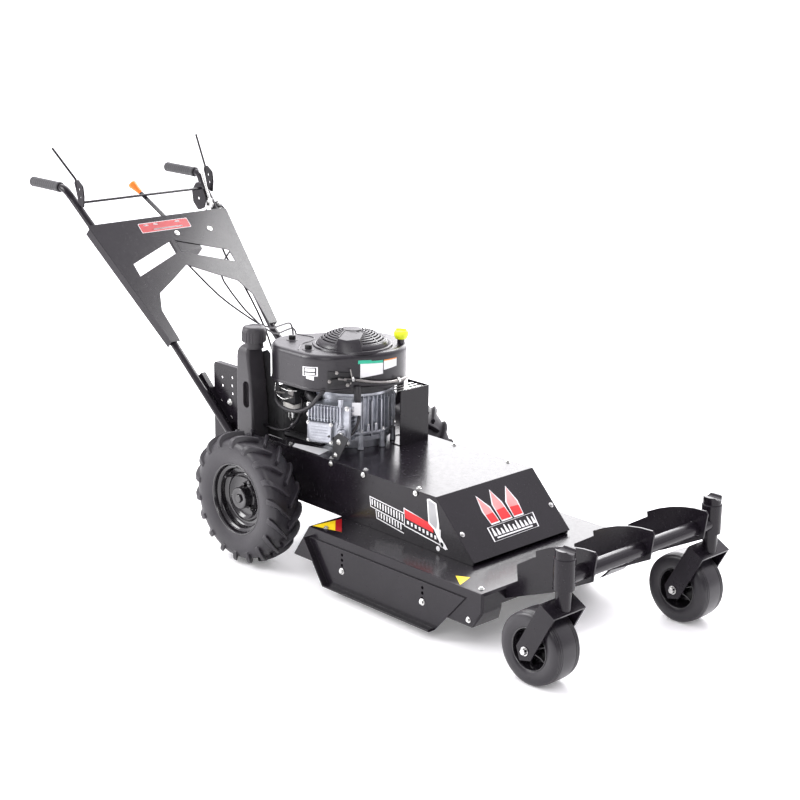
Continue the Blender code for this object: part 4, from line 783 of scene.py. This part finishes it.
def cylinder():
    """Finned cylinder and head, rocker cover with its bolts, plug boss, push-rod tube and a stay plate."""
    piece = Piece("finned_cylinder")
    axis = Vector((cos(HEAD_TURN), sin(HEAD_TURN), 0))
    head_slab(piece, 0.138, 0.0, 0.446, (0.066, 0.104, 0.104), ALUMINIUM)
    for k in range(9):
        head_slab(piece, 0.148, 0.0, 0.3965 + 0.0125 * k, (0.046, 0.134, 0.0024), ALUMINIUM)
    head_slab(piece, 0.1765, 0.0, 0.4455, (0.013, 0.136, 0.119), ALUMINIUM)
    for k in range(11):
        head_slab(piece, 0.188, -0.06 + 0.0105 * k, 0.48, (0.018, 0.0026, 0.048), ALUMINIUM)
    for z in (0.462, 0.498):
        head_slab(piece, 0.185, -0.008, z, (0.01, 0.112, 0.003), ALUMINIUM)
    rocker = [(0.182, 1.0, 1.0), (0.185, 1.0, 1.0), (0.1856, 0.95, 0.94), (0.1975, 0.93, 0.92),
        (0.201, 0.86, 0.84), (0.2022, 0.7, 0.66)]
    cover = rounded_outline(0.088, 0.07, 0.012)
    rings = [[on_head(out, -0.023 + x * sx, 0.4215 + y * sy) for x, y in cover] for out, sx, sy in rocker]
    piece.skin(rings, ALUMINIUM)
    for k in range(5):
        head_slab(piece, 0.201, -0.023, 0.4035 + 0.009 * k, (0.005, 0.056, 0.0022), ALUMINIUM)
    for across, z in ((-0.06, 0.394), (0.014, 0.394), (-0.06, 0.449), (0.014, 0.449)):
        piece.turned([(0, 0.183), (0.0072, 0.183), (0.0062, 0.1975), (0, 0.1975)], on_head(0, across, z),
            axis, ALUMINIUM, 20)
        piece.bolt(on_head(0.1975, across, z), axis, 0.005, 0.0045, washer=0.0066)
    for across, z in ((-0.064, 0.47), (-0.064, 0.5), (0.06, 0.5), (0.062, 0.392)):
        piece.bolt(on_head(0.183, across, z), axis, 0.0056, 0.006, washer=0.0082)
    piece.turned([(0, 0.178), (0.015, 0.178), (0.015, 0.188), (0.012, 0.191), (0.012, 0.193), (0, 0.193)],
        on_head(0, 0.044, 0.421), axis, ALUMINIUM, 28)
    piece.turned([(0, 0.193), (0.0078, 0.193), (0.0078, 0.199), (0.0056, 0.2), (0.0056, 0.204), (0, 0.204)],
        on_head(0, 0.044, 0.421), axis, ZINC, 6)
    tube_foot = on_head(0.184, 0.04, 0.44)
    piece.turned([(0, 0), (0.0105, 0), (0.0105, 0.006), (0.008, 0.008), (0.008, 0.088), (0, 0.088)],
        tube_foot, UP, ALUMINIUM, 24)
    for k in range(4):
        piece.turned([(0.007, 0.018 + 0.016 * k), (0.0092, 0.019 + 0.016 * k), (0.0092, 0.022 + 0.016 * k),
            (0.007, 0.023 + 0.016 * k)], tube_foot, UP, ALUMINIUM, 24, loop=True)
    piece.build("chassis", "engine_aluminium", "cylinder_head", soften=0.0007)
    stay = Piece("engine_stay")
    outline = ((0.231, 0.3565), (0.263, 0.3565), (0.308, 0.433), (0.262, 0.44), (0.244, 0.425))
    stay.prism([at(x, -0.1905, z) for x, z in outline], (0, -0.003, 0), CASTING)
    stay.bolt(at(0.264, -0.1935, 0.413), (0, -1, 0), 0.006, 0.005, washer=0.009)
    stay.bolt(at(0.25, -0.1935, 0.369), (0, -1, 0), 0.005, 0.0045, washer=0.0078)
    stay.build("chassis", "engine_aluminium", soften=0.0006)


def spark_lead():
    """Ignition lead with its tag, from under the housing round to the plug on the cylinder."""
    piece = Piece("spark_lead")
    line = [at(0.226, -0.08, 0.505), at(0.24, -0.09, 0.462), at(0.238, -0.112, 0.42), at(0.222, -0.14, 0.404),
        at(0.206, -0.164, 0.405), at(0.202, -0.18, 0.416)]
    piece.tube(line, 0.0045, HOSE, 14, 8)
    piece.turned([(0, 0), (0.0085, 0), (0.0105, 0.012), (0.012, 0.04), (0.0105, 0.052), (0, 0.052)],
        at(0.2235, -0.0795, 0.502), (-0.18, 0.1, 1), HOSE, 24)
    piece.block(at(0.235, -0.096, 0.49), (0.027, 0.0016, 0.04), WHITE, radians(42))
    piece.build("chassis", "cord_rubber", soften=0.0004)


def governor_and_hoses():
    """Carburetor dressing: pale collar, bowl drain, control rods, springs, vent loop and breather hose."""
    piece = Piece("carburetor_fittings")
    bowl = at(-0.01, -0.142, 0.0)
    piece.turned([(0.0262, 0.452), (0.027, 0.454), (0.027, 0.47), (0.0262, 0.472), (0, 0.472), (0, 0.452)],
        bowl, UP, CREAM, 36)
    piece.turned([(0, 0.416), (0.0085, 0.416), (0.0105, 0.42), (0.0105, 0.4395), (0, 0.4395)], bowl,
        UP, ZINC, 24)
    piece.bolt(bowl + Vector((0, 0, 0.4165)), (0, 0, -1), 0.0062, 0.0055)
    rods = (((-0.06, -0.15, 0.512), (-0.03, -0.176, 0.52), (0.012, -0.178, 0.516), (0.046, -0.17, 0.52)),
        ((-0.062, -0.15, 0.494), (-0.04, -0.182, 0.5), (-0.002, -0.186, 0.488), (0.03, -0.178, 0.497)),
        ((-0.048, -0.176, 0.53), (-0.044, -0.182, 0.508), (-0.052, -0.176, 0.486)))
    for rod in rods:
        piece.tube([at(*p) for p in rod], 0.0011, ZINC, 8, 8)
    for start, end in (((-0.034, -0.181, 0.503), (0.0, -0.181, 0.506)),
            ((0.006, -0.182, 0.49), (0.036, -0.176, 0.5))):
        spring_coil(piece, at(*start), at(*end), 0.0032, 9)
    piece.block(at(-0.048, -0.168, 0.506), (0.016, 0.006, 0.03), ZINC, radians(15))
    piece.block(at(0.02, -0.172, 0.512), (0.028, 0.004, 0.018), STEEL, radians(-8))
    loop = [at(*p) for p in ((-0.014, -0.158, 0.446), (-0.04, -0.168, 0.44), (-0.056, -0.172, 0.418),
        (-0.046, -0.176, 0.394), (-0.016, -0.18, 0.384), (0.016, -0.178, 0.386))]
    piece.tube(loop, 0.0022, SHEATH, 10, 8)
    piece.build("chassis", "engine_aluminium", soften=0.0003)
    hose = Piece("breather_hose")
    line = [at(*p) for p in ((-0.052, -0.168, 0.492), (-0.036, -0.184, 0.48), (0.0, -0.196, 0.4685),
        (0.05, -0.202, 0.466), (0.104, -0.204, 0.476), (0.146, -0.202, 0.5), (0.168, -0.192, 0.53),
        (0.17, -0.17, 0.546))]
    hose.tube(line, 0.0058, HOSE, 16, 8)
    hose.build("chassis", "cord_rubber", soften=0)


def engine_baffle():
    """Dark sheet behind the carburetor with its foot, air box and duct, and a tall dark stay plate beside the
    tank that is painted shade.
    """
    piece = Piece("engine_baffle")
    outline = ((-0.115, 0.3535), (0.098, 0.3535), (0.098, 0.452), (0.078, 0.554), (-0.05, 0.554),
        (-0.115, 0.47))
    piece.prism([at(x, -0.098, z) for x, z in outline], (0, 0.003, 0), CASTING)
    foot = ((-0.085, -0.095), (0.11, -0.095), (0.11, -0.128), (-0.085, -0.15))
    piece.prism([at(x, y, 0.3535) for x, y in foot], (0, 0, 0.003), CASTING)
    air_box = ((-0.052, -0.098), (0.06, -0.098), (0.06, -0.158), (-0.052, -0.158))
    piece.prism([at(x, y, 0.5285) for x, y in air_box], (0, 0, 0.026), DARK_PLASTIC)
    duct = [at(*p) for p in ((0.052, -0.128, 0.508), (0.078, -0.134, 0.5), (0.104, -0.126, 0.478),
        (0.122, -0.112, 0.462))]
    piece.tube(duct, 0.016, HOSE, 18, 8)
    # Tall dark plate beside the tank: painted shade, filling the gap on the tank's far side where only shadow
    # lies.
    stay = ((-0.15, 0.3535), (-0.012, 0.3535), (-0.012, 0.44), (-0.04, 0.54), (-0.0755, 0.544),
        (-0.0755, 0.615), (-0.09, 0.625), (-0.15, 0.6))
    piece.prism([at(x, -0.1745, z) for x, z in stay], (0, 0.003, 0), CASTING)
    for x, z in ((-0.06, 0.372), (-0.06, 0.44), (0.082, 0.372)):
        piece.bolt(at(x, -0.098, z), (0, -1, 0), 0.0052, 0.0045, washer=0.008)
    piece.build("chassis", "engine_plastic", soften=0.0008)


def guard_bars():
    """Bright cross bars over the open top of the muffler guard."""
    piece = Piece("muffler_guard_bars")
    low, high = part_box("muffler_guard")
    for share in (0.3, 0.52, 0.74):
        x = low.x + (high.x - low.x) * share
        piece.block((x, (low.y + high.y) / 2, high.z - 0.006), (0.008, (high.y - low.y) * 0.9, 0.003), ZINC)
    piece.build("chassis", "zinc_steel", soften=0.0006)


def spring_coil(piece, start, end, radius, turns):
    """Thin wire spring between two points."""
    _, side, up = frame_of(end - start)
    points = []
    for k in range(turns * 8 + 1):
        share = k / (turns * 8)
        angle = TURN * turns * share
        points.append(start + (end - start) * share + side * (radius * cos(angle))
            + up * (radius * sin(angle)))
    piece.tube(points, 0.0006, STEEL, 6, 0)


# ---------------------------------------------------------------- fuel tank

TANK_SHAPE = (  # height, rear x, front x, near y, far y, corner radius
    (0.3525, -0.151, -0.077, -0.242, -0.184, 0.006), (0.357, -0.155, -0.073, -0.246, -0.18, 0.008),
    (0.43, -0.155, -0.076, -0.246, -0.18, 0.008), (0.53, -0.155, -0.086, -0.246, -0.18, 0.008),
    (0.534, -0.1545, -0.0868, -0.2452, -0.1808, 0.008), (0.538, -0.155, -0.087, -0.246, -0.18, 0.008),
    (0.608, -0.1545, -0.0975, -0.246, -0.18, 0.009), (0.622, -0.1535, -0.0985, -0.245, -0.181, 0.01),
    (0.632, -0.15, -0.1, -0.2425, -0.183, 0.011), (0.64, -0.1445, -0.103, -0.238, -0.187, 0.012),
    (0.645, -0.137, -0.106, -0.231, -0.193, 0.012), (0.646, -0.133, -0.108, -0.227, -0.197, 0.01),
)


def fuel_tank():
    """Blow-moulded tank: tapered front, sloped shoulders, filler neck, waist line and a deep sight slot."""
    piece = Piece("moulded_tank")
    rings = []
    for z, rear, front, near, far, radius in TANK_SHAPE:
        mid_x, mid_y = (rear + front) / 2, (near + far) / 2
        outline = rounded_outline(front - rear, far - near, radius, 6)
        rings.append([at(mid_x + x, mid_y + y, z) for x, y in outline])
    piece.skin(rings, TANK)
    cap = middle("fuel_cap")
    piece.turned([(0, -0.016), (0.0215, -0.016), (0.0215, 0.0105), (0, 0.0105)],
        (cap.x, cap.y, TANK_SHAPE[-1][0]), UP, TANK, 40)
    tank = piece.build("chassis", "tank_plastic", "fuel_tank", soften=0.0012, angle=50)
    tool = Piece("slot_tool")
    near = TANK_SHAPE[2][3]
    tool.prism(slot_outline(near - 0.01), (0, 0.024, 0), DARK_PLASTIC)
    hollow_out(tank, tool)


def hollow_out(obj, tool):
    """Cuts a closed shape out of the tank's mesh and leaves it all in the tank's plastic."""
    cutter = placed(tool.name, mesh_of(tool.bm, tool.name))
    cut = obj.modifiers.new("cut", "BOOLEAN")
    cut.object = cutter
    cut.solver = "EXACT"
    others = [m for m in obj.modifiers if m != cut]
    for modifier in others:
        modifier.show_viewport = False
    bpy.context.view_layer.update()
    result = bpy.data.meshes.new_from_object(obj.evaluated_get(bpy.context.evaluated_depsgraph_get()))
    obj.modifiers.remove(cut)
    for modifier in others:
        modifier.show_viewport = True
    result.materials.clear()
    result.materials.append(TANK)
    for face in result.polygons:
        face.material_index = 0
    obj.data = result
    obj.data.shade_smooth()
    bpy.data.objects.remove(cutter)


def slot_outline(y):
    """Round-ended upright slot on the tank's near face."""
    points = []
    for middle_z, start in ((0.518, 0.0), (0.4625, pi)):
        for k in range(13):
            angle = start + pi * k / 12
            points.append(at(-0.1065 + 0.0145 * cos(angle), y, middle_z + 0.0145 * sin(angle)))
    return points


CAP_SKIRT = 0.02


def fuel_cap():
    """Screw cap with coarse grip ribs, a rounded shoulder and a dished top. The neck below turns with it."""
    low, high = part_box("fuel_cap")
    centre = middle("fuel_cap")
    radius = (high.x - low.x) / 2
    piece = Piece("tank_screw_cap")
    tall = high.z - low.z
    base = Vector((centre.x, centre.y, low.z))
    piece.turned([(0, CAP_SKIRT), (radius * 0.95, CAP_SKIRT), (radius * 0.965, CAP_SKIRT + 0.002),
        (radius * 0.965, tall - 0.013), (radius * 0.93, tall - 0.006), (radius * 0.84, tall - 0.0015),
        (radius * 0.72, tall), (radius * 0.6, tall), (radius * 0.55, tall - 0.002), (0, tall - 0.002)], base,
        UP, TANK, 72)
    for k in range(22):
        angle = TURN * k / 22
        along, across = Vector((cos(angle), sin(angle), 0)), Vector((-sin(angle), cos(angle), 0))
        rings = []
        for z, reach in ((CAP_SKIRT + 0.001, 0.985), (CAP_SKIRT + 0.004, 1.0), (tall - 0.017, 1.0),
                (tall - 0.012, 0.94)):
            inner, outer = base + along * (radius * 0.92), base + along * (radius * reach)
            up = Vector((0, 0, z))
            rings.append([inner - across * 0.003 + up, outer - across * 0.002 + up,
                outer + across * 0.002 + up, inner + across * 0.003 + up])
        piece.skin(rings, TANK)
    piece.turned([(0, 0), (radius * 0.8, 0), (radius * 0.8, 0.004), (radius * 0.76, 0.006),
        (radius * 0.76, CAP_SKIRT), (0, CAP_SKIRT)], base, UP, TANK, 48)
    piece.build("tank_cap", "tank_plastic", "fuel_cap", soften=0.0005)


# ---------------------------------------------------------------- handle

def grip(name):
    """Soft sleeve with end flange, finger rings and a rounded closed end."""
    low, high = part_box("grip_" + name)
    centre = middle("grip_" + name)
    radius = (high.z - low.z) / 2
    length = high.x - low.x
    piece = Piece("ribbed_grip_" + name)
    profile = [(0, 0), (radius * 0.6, 0), (radius * 0.9, 0.002), (radius, 0.006), (radius, 0.014),
        (radius * 0.93, 0.018)]
    start, end, rings = 0.022, length - 0.022, 11
    for k in range(rings):
        base = start + (end - start) * k / rings
        step = (end - start) / rings
        profile += [(radius * 0.9, base), (radius * 0.96, base + step * 0.25),
            (radius * 0.96, base + step * 0.65), (radius * 0.9, base + step * 0.9)]
    profile += [(radius * 0.93, length - 0.016), (radius, length - 0.013), (radius, length - 0.002),
        (radius * 0.86, length), (0.0131, length), (0.0131, 0.008), (0, 0.008)]
    piece.turned(profile, (low.x, centre.y, centre.z), (1, 0, 0), GRIP, 32)
    piece.build("chassis", "grip_rubber", "grip_" + name, soften=0.0005)


PANEL_SLOPE = radians(43)
PANEL_FOOT = Vector((-0.8439, 0, 0.85))
PANEL_LIFT = 0.0208


def on_panel(up, across, lift=0.0):
    """A point on the control panel: up its slope, across to the left, and lifted off its upper face."""
    normal = Vector((sin(PANEL_SLOPE), 0, cos(PANEL_SLOPE)))
    rise = Vector((-cos(PANEL_SLOPE), 0, sin(PANEL_SLOPE)))
    point = PANEL_FOOT + rise * up + normal * (PANEL_LIFT + lift) + Vector((0, across, 0))
    return at(*point)


def panel_dressing():
    """Plain control sticker and the panel's bolts."""
    normal = Vector((sin(PANEL_SLOPE), 0, cos(PANEL_SLOPE)))
    piece = Piece("panel_decal")

    def patch(low_across, high_across, low_up, high_up, material, lift):
        centre_up, centre_across = (low_up + high_up) / 2, (low_across + high_across) / 2
        outline = [on_panel(centre_up + y, centre_across + x, lift)
            for x, y in rounded_outline(high_across - low_across, high_up - low_up, 0.004, 4)]
        piece.prism(outline, normal * 0.0004, material)

    patch(-0.1, 0.105, 0.012, 0.052, WHITE, 0.0001)
    patch(-0.0985, 0.1035, 0.0135, 0.0505, RED, 0.0003)
    for across in (-0.07, -0.03, 0.06):
        patch(across - 0.01, across + 0.01, 0.04, 0.045, WHITE, 0.0005)
    patch(-0.05, 0.072, 0.02, 0.0245, WHITE, 0.0005)
    piece.build("chassis", "frame_paint", soften=0)
    bolts = Piece("panel_bolts")
    for across in (0.033, 0.173):
        bolts.bolt(on_panel(-0.006, across), normal, 0.0065, 0.005, washer=0.0098)
    bolts.build("chassis", "zinc_steel", soften=0.0003)


def handle_clamp():
    """Cable clamp and barrel adjuster on the left tube, and the clevis at the drive link's lower end."""
    slope = (0.735, -0.107, -0.678)
    piece = Piece("cable_clamp")
    spot = at(-0.915, 0.2795, 0.92)
    axis, across, out = frame_of(slope)
    corners = ((-0.012, -0.01), (0.012, -0.01), (0.012, 0.008), (0.004, 0.012), (-0.012, 0.008))
    piece.prism([spot + across * a + out * b - axis * 0.01 for a, b in corners], axis * 0.022, CASTING)
    piece.bolt(spot + out * 0.011, out, 0.0045, 0.0045, washer=0.0062)
    barrel = [(0, 0.01), (0.0052, 0.01), (0.0052, 0.018), (0.0036, 0.019), (0.0036, 0.03), (0, 0.03)]
    piece.turned(barrel, spot, slope, ZINC, 12)
    piece.build("chassis", "zinc_steel", soften=0.0004)
    clevis = Piece("link_clevis")
    low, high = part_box("drive_link")
    end = Vector((high.x - 0.0075, (low.y + high.y) / 2, low.z + 0.0085))
    cheek = [(0.0042, 0.0053), (0.0088, 0.0053), (0.0092, 0.0057), (0.0092, 0.0083), (0.0042, 0.0083)]
    clevis.turned(cheek, end, ACROSS, ZINC, 28, loop=True)
    clevis.turned([(0, -0.004), (0.004, -0.004), (0.004, 0.01), (0, 0.01)], end, ACROSS, CASTING, 16)
    clevis.build("drive_rod", "zinc_steel", soften=0.0003)


def shift_knob():
    """Tapered orange knob with a rounded top."""
    piece = Piece("gear_knob")
    low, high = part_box("shift_knob")
    axis = (Vector((-0.969, -0.012, 0.987)) - Vector((-0.8429, 0.072, 0.8452))).normalized()
    centre = (low + high) / 2
    half = 0.024
    profile = [(0, -half), (0.007, -half), (0.0085, -half + 0.002), (0.01, -0.008), (0.0125, 0.004),
        (0.0145, 0.013), (0.014, 0.019), (0.011, 0.0225), (0.006, half), (0, half)]
    piece.turned(profile, centre, axis, ORANGE, 32)
    piece.build("gear_lever", "knob_orange", "shift_knob", soften=0)


# ---------------------------------------------------------------- deck, cover and frame

NOSE_ROOT = 0.685
RIDGE_Z = 0.352


def on_nose(down, across, lift):
    """A point on the sloped nose: down the slope from the ridge, across to the left, and lifted off it."""
    run = down / 2 ** 0.5
    rise = lift / 2 ** 0.5
    return at(NOSE_ROOT + run + rise, across, RIDGE_Z - run + rise)


def nose_decal():
    """Emblem on the nose: three red leaves with white rims over a band of grass."""
    piece = Piece("nose_decal")
    push = Vector((1, 0, 1)).normalized() * 0.0003

    def shape(points, material, lift):
        piece.prism([on_nose(d, a, lift) for d, a in points], push, material)

    def rimmed(points, material, rim, lift):
        middle_d = sum(d for d, a in points) / len(points)
        middle_a = sum(a for d, a in points) / len(points)
        wide = []
        for d, a in points:
            away = Vector((d - middle_d, a - middle_a))
            away *= (away.length + rim) / away.length
            wide.append((middle_d + away.x, middle_a + away.y))
        shape(wide, WHITE, lift)
        shape(points, material, lift + 0.0003)

    leaves = (((0.036, -0.064), (0.078, -0.04), (0.124, -0.034), (0.124, -0.066), (0.084, -0.07)),
        ((0.03, -0.004), (0.074, -0.022), (0.124, -0.022), (0.124, 0.018), (0.074, 0.012)),
        ((0.034, 0.06), (0.078, 0.032), (0.124, 0.03), (0.124, 0.066), (0.084, 0.07)))
    for leaf in leaves:
        rimmed(leaf, PINK, 0.005, 0.0002)
        _, inner, low_inner, low_outer, outer = (Vector(corner) for corner in leaf)
        band = (inner.lerp(low_inner, 0.35), low_inner, low_outer, outer.lerp(low_outer, 0.3))
        shape([tuple(corner) for corner in band], SCARLET, 0.0008)
    rimmed(((0.134, -0.086), (0.132, 0.1), (0.176, 0.092), (0.178, -0.088)), POWDER, 0.005, 0.0011)
    for k in range(11):
        start = -0.081 + 0.0163 * k
        tip = 0.138 + 0.004 * (k % 3)
        shape(((tip, start + 0.004), (tip, start + 0.008), (0.164, start + 0.0125), (0.164, start)),
            WHITE, 0.0017)
    shape(((0.168, -0.074), (0.168, 0.074), (0.172, 0.074), (0.172, -0.074)), WHITE, 0.0017)
    piece.build("chassis", "frame_paint", soften=0)


def side_decal(side):
    """Emblem on the frame side: rows of bars, a red block, a grey leaf with a white rim, and two dots."""
    piece = Piece("side_decal_" + ("left" if side > 0 else "right"))
    y = side * 0.2002
    push = Vector((0, side * 0.0003, 0))

    def shape(points, material, lift):
        piece.prism([at(x, y + side * lift, z) for x, z in points], push, material)

    def bars(count, start, gap, foot, foot_fall, top, top_fall, width, lift):
        for k in range(count):
            x, low, high = start + gap * k, foot - foot_fall * k, top - top_fall * k
            corners = ((x, high), (x + 0.0012, low), (x + 0.0012 + width, low), (x + width, high))
            shape(corners, WHITE, lift)

    shape(((0.409, 0.284), (0.413, 0.252), (0.556, 0.233), (0.556, 0.27)), WHITE, 0.0)
    shape(((0.4125, 0.281), (0.416, 0.2545), (0.556, 0.236), (0.556, 0.267)), POWDER, 0.0002)
    bars(12, 0.418, 0.0116, 0.259, 0.0015, 0.277, 0.0011, 0.0048, 0.0004)
    shape(((0.435, 0.25), (0.44, 0.222), (0.556, 0.206), (0.556, 0.233)), WHITE, 0.0)
    shape(((0.4385, 0.247), (0.443, 0.225), (0.556, 0.2095), (0.556, 0.233)), POWDER, 0.0002)
    bars(9, 0.446, 0.0118, 0.2285, 0.0015, 0.244, 0.0012, 0.0048, 0.0004)
    shape(((0.553, 0.286), (0.557, 0.23), (0.706, 0.212), (0.704, 0.259)), WHITE, 0.0001)
    shape(((0.556, 0.2825), (0.56, 0.2335), (0.702, 0.216), (0.7, 0.256)), POWDER, 0.0003)
    shape(((0.557, 0.282), (0.56, 0.256), (0.676, 0.242), (0.674, 0.266)), SCARLET, 0.0005)
    bars(8, 0.568, 0.016, 0.24, 0.002, 0.25, 0.0019, 0.0078, 0.0005)
    leaf = ((0.648, 0.337), (0.658, 0.34), (0.686, 0.333), (0.698, 0.275), (0.701, 0.242), (0.726, 0.218),
        (0.734, 0.209), (0.725, 0.205), (0.71, 0.21), (0.678, 0.254), (0.656, 0.266))
    inner = ((0.653, 0.3325), (0.66, 0.335), (0.6815, 0.329), (0.692, 0.276), (0.688, 0.256), (0.68, 0.26),
        (0.66, 0.27))
    shape(leaf, WHITE, 0.0007)
    shape(inner, GREY_VINYL, 0.0009)
    for x, z in ((0.71, 0.216), (0.696, 0.201)):
        piece.turned([(0, 0), (0.0075, 0), (0.0075, 0.0003), (0, 0.0003)], at(x, y + side * 0.0007, z),
            (0, side, 0), WHITE, 20)
    piece.build("chassis", "frame_paint", soften=0)


def deck_stickers():
    """Plain yellow, red and white stickers on the deck and cover."""
    piece = Piece("deck_stickers")
    up = Vector((0, 0, 0.0003))
    deck = 0.1862
    piece.prism([at(x, y, deck) for x, y in ((0.29, -0.318), (0.386, -0.289), (0.3032, -0.2142))], up, SUN)
    strip = ((0.386, -0.289), (0.3032, -0.2142), (0.3003, -0.237), (0.3649, -0.2954))
    piece.prism([at(x, y, deck + 0.0003) for x, y in strip], up, RED)
    piece.prism([at(x, y, deck) for x, y in ((0.848, -0.284), (0.883, -0.263), (0.902, -0.322))], up, SUN)
    plate = ((0.04, -0.173), (0.059, -0.199), (0.177, -0.194), (0.162, -0.137))
    piece.prism([at(x, y, RIDGE_Z + 0.0002) for x, y in plate], up, WHITE)
    piece.build("chassis", "frame_paint", soften=0)


SHEET_BOLT = {"radius": 0.0052, "height": 0.0045, "washer": 0.0082}


def frame_bolts():
    """Zinc hex bolts on the cover, frame sides, nose, deck, skid shoes and handle brackets."""
    piece = Piece("frame_bolts")
    for side in (-1, 1):
        out = Vector((0, side, 0))
        for x in (0.036, 0.225, 0.375, 0.6):
            piece.bolt(at(x, side * 0.186, RIDGE_Z), UP, **SHEET_BOLT)
        for x in (0.2395, 0.382, 0.602):
            piece.bolt(at(x, side * 0.2022, 0.342), out, **SHEET_BOLT)
        piece.bolt(on_nose(0.128, side * 0.1865, 0.0), (1, 0, 1), 0.0052, 0.0045, washer=0.008)
        for x, z in ((0.436, 0.09), (0.768, 0.098)):
            piece.bolt(at(x, side * 0.3325, z), out, 0.007, 0.0055, washer=0.01)
        piece.bolt(at(0.941, side * 0.327, 0.098), out, 0.0058, 0.0045, washer=0.0084)
        for x in (0.33, 0.96):
            piece.bolt(at(x, side * 0.3, 0.186), UP, 0.0056, 0.0045, washer=0.0082)
        for x, z in ((-0.333, 0.403), (-0.285, 0.413), (-0.282, 0.359)):
            piece.bolt(at(x, side * 0.17, z), out, 0.0075, 0.006, washer=0.011)
    piece.build("chassis", "zinc_steel", soften=0.0004)


# ---------------------------------------------------------------- floor, lights and camera

FLOOR_REACH = 90.0


def floor():
    """Pale floor, far wider than the machine."""
    bm = bmesh.new()
    bm.faces.new([bm.verts.new((x * FLOOR_REACH, y * FLOOR_REACH, 0.0))
        for x, y in ((-1, -1), (1, -1), (1, 1), (-1, 1))])
    mesh = bpy.data.meshes.new("studio_floor")
    bm.to_mesh(mesh)
    bm.free()
    mesh.materials.append(FLOOR)
    obj = placed("studio_floor", mesh)


def softbox(name, place, target, width, height, power):
    """Large rectangular studio light aimed at a point."""
    data = bpy.data.lights.new(name, "AREA")
    data.shape = "RECTANGLE"
    data.size = width
    data.size_y = height
    data.energy = power
    obj = placed(name, data)
    obj.location = place
    obj.rotation_euler = (Vector(target) - Vector(place)).to_track_quat("-Z", "Y").to_euler()
    obj.visible_camera = False


WORLD_BRIGHT_SIDE = (-0.6, 0.57, 0.56)
WORLD_DIM = 0.3
WORLD_BRIGHT = 1.9
SUN_HEADING = (0.62, -0.6, -0.95)


def surroundings():
    """Studio walls: bright and slightly lilac behind and above the machine, dimmer on the camera's side."""
    world = bpy.data.worlds.new("studio")
    world.use_nodes = True
    tree = world.node_tree
    tree.nodes.clear()
    heading = tree.nodes.new("ShaderNodeTexCoord").outputs["Generated"]
    away = tree.nodes.new("ShaderNodeVectorMath")
    away.operation = "DOT_PRODUCT"
    away.inputs[1].default_value = WORLD_BRIGHT_SIDE
    tree.links.new(heading, away.inputs[0])
    strength = stepped(tree, away.outputs["Value"], -0.55, 0.75, WORLD_DIM, WORLD_BRIGHT)
    background = linked(tree, "ShaderNodeBackground", Color=(1.0, 0.965, 1.03, 1), Strength=strength)
    output = tree.nodes.new("ShaderNodeOutputWorld")
    tree.links.new(background.outputs["Background"], output.inputs["Surface"])
    bpy.context.scene.world = world


def sun():
    """Broad light from behind, which lifts the floor and the upward faces."""
    data = bpy.data.lights.new("sun", "SUN")
    data.energy = 1.6
    data.angle = radians(60)
    placed("sun", data).rotation_euler = Vector(SUN_HEADING).to_track_quat("-Z", "Y").to_euler()


def studio():
    """White surroundings, a broad back light and soft boxes."""
    surroundings()
    sun()
    softbox("left", (-2.3, -3.0, 2.3), (-0.2, 0, 0.55), 1.5, 2.2, 120)
    softbox("key", (2.6, -3.0, 2.6), (0.2, 0, 0.4), 1.6, 1.4, 45)
    softbox("handle_light", (-0.22, 2.0, 2.62), (-0.75, 0.15, 0.85), 0.9, 1.0, 50)
    softbox("back_panel", (-1.22, 3.09, 1.35), (0.25, 0.0, 0.4), 2.6, 1.5, 46)
    bpy.context.scene.view_settings.view_transform = "Standard"


CAMERA_TARGET = Vector((0.1755453, 0.1429277, 0.4609389))
CAMERA_DISTANCE = 5.332821
CAMERA_AROUND = radians(46.06016)
CAMERA_UP = radians(15.9644)
CAMERA_ROLL = radians(0.81702)
LENS = 76.598


def camera():
    """Camera ahead of the machine on its right, a little above it."""
    back = Vector((sin(CAMERA_AROUND) * cos(CAMERA_UP), -cos(CAMERA_AROUND) * cos(CAMERA_UP), sin(CAMERA_UP)))
    right = (-back).cross(Vector(UP)).normalized()
    up = right.cross(-back)
    level, tilt = cos(CAMERA_ROLL), sin(CAMERA_ROLL)
    columns = (right * level + up * tilt, up * level - right * tilt, back)
    rotation = Matrix(columns).transposed().to_4x4()
    data = bpy.data.cameras.new("camera")
    data.lens = LENS
    data.sensor_width = 36
    obj = placed("camera", data)
    obj.matrix_world = Matrix.Translation(at(*CAMERA_TARGET) + back * CAMERA_DISTANCE) @ rotation
    bpy.context.scene.camera = obj


dress_cad_nodes()
for side_name, side_sign in SIDES.items():
    rear_tyre(side_name)
    rear_rim(side_name, side_sign)
    caster_wheel(side_name)
    caster_hardware(side_name)
    grip(side_name)
    side_decal(side_sign)
blower_housing()
finger_guard()
housing_labels()
cleaner_knob(1)
cleaner_knob(2)
dipstick_cap()
crankcase_details()
cylinder()
governor_bracket()
breather_pipe()
spark_lead()
governor_and_hoses()
engine_baffle()
guard_bars()
fuel_tank()
fuel_cap()
panel_dressing()
handle_clamp()
shift_knob()
nose_decal()
deck_stickers()
frame_bolts()
floor()
studio()
camera()
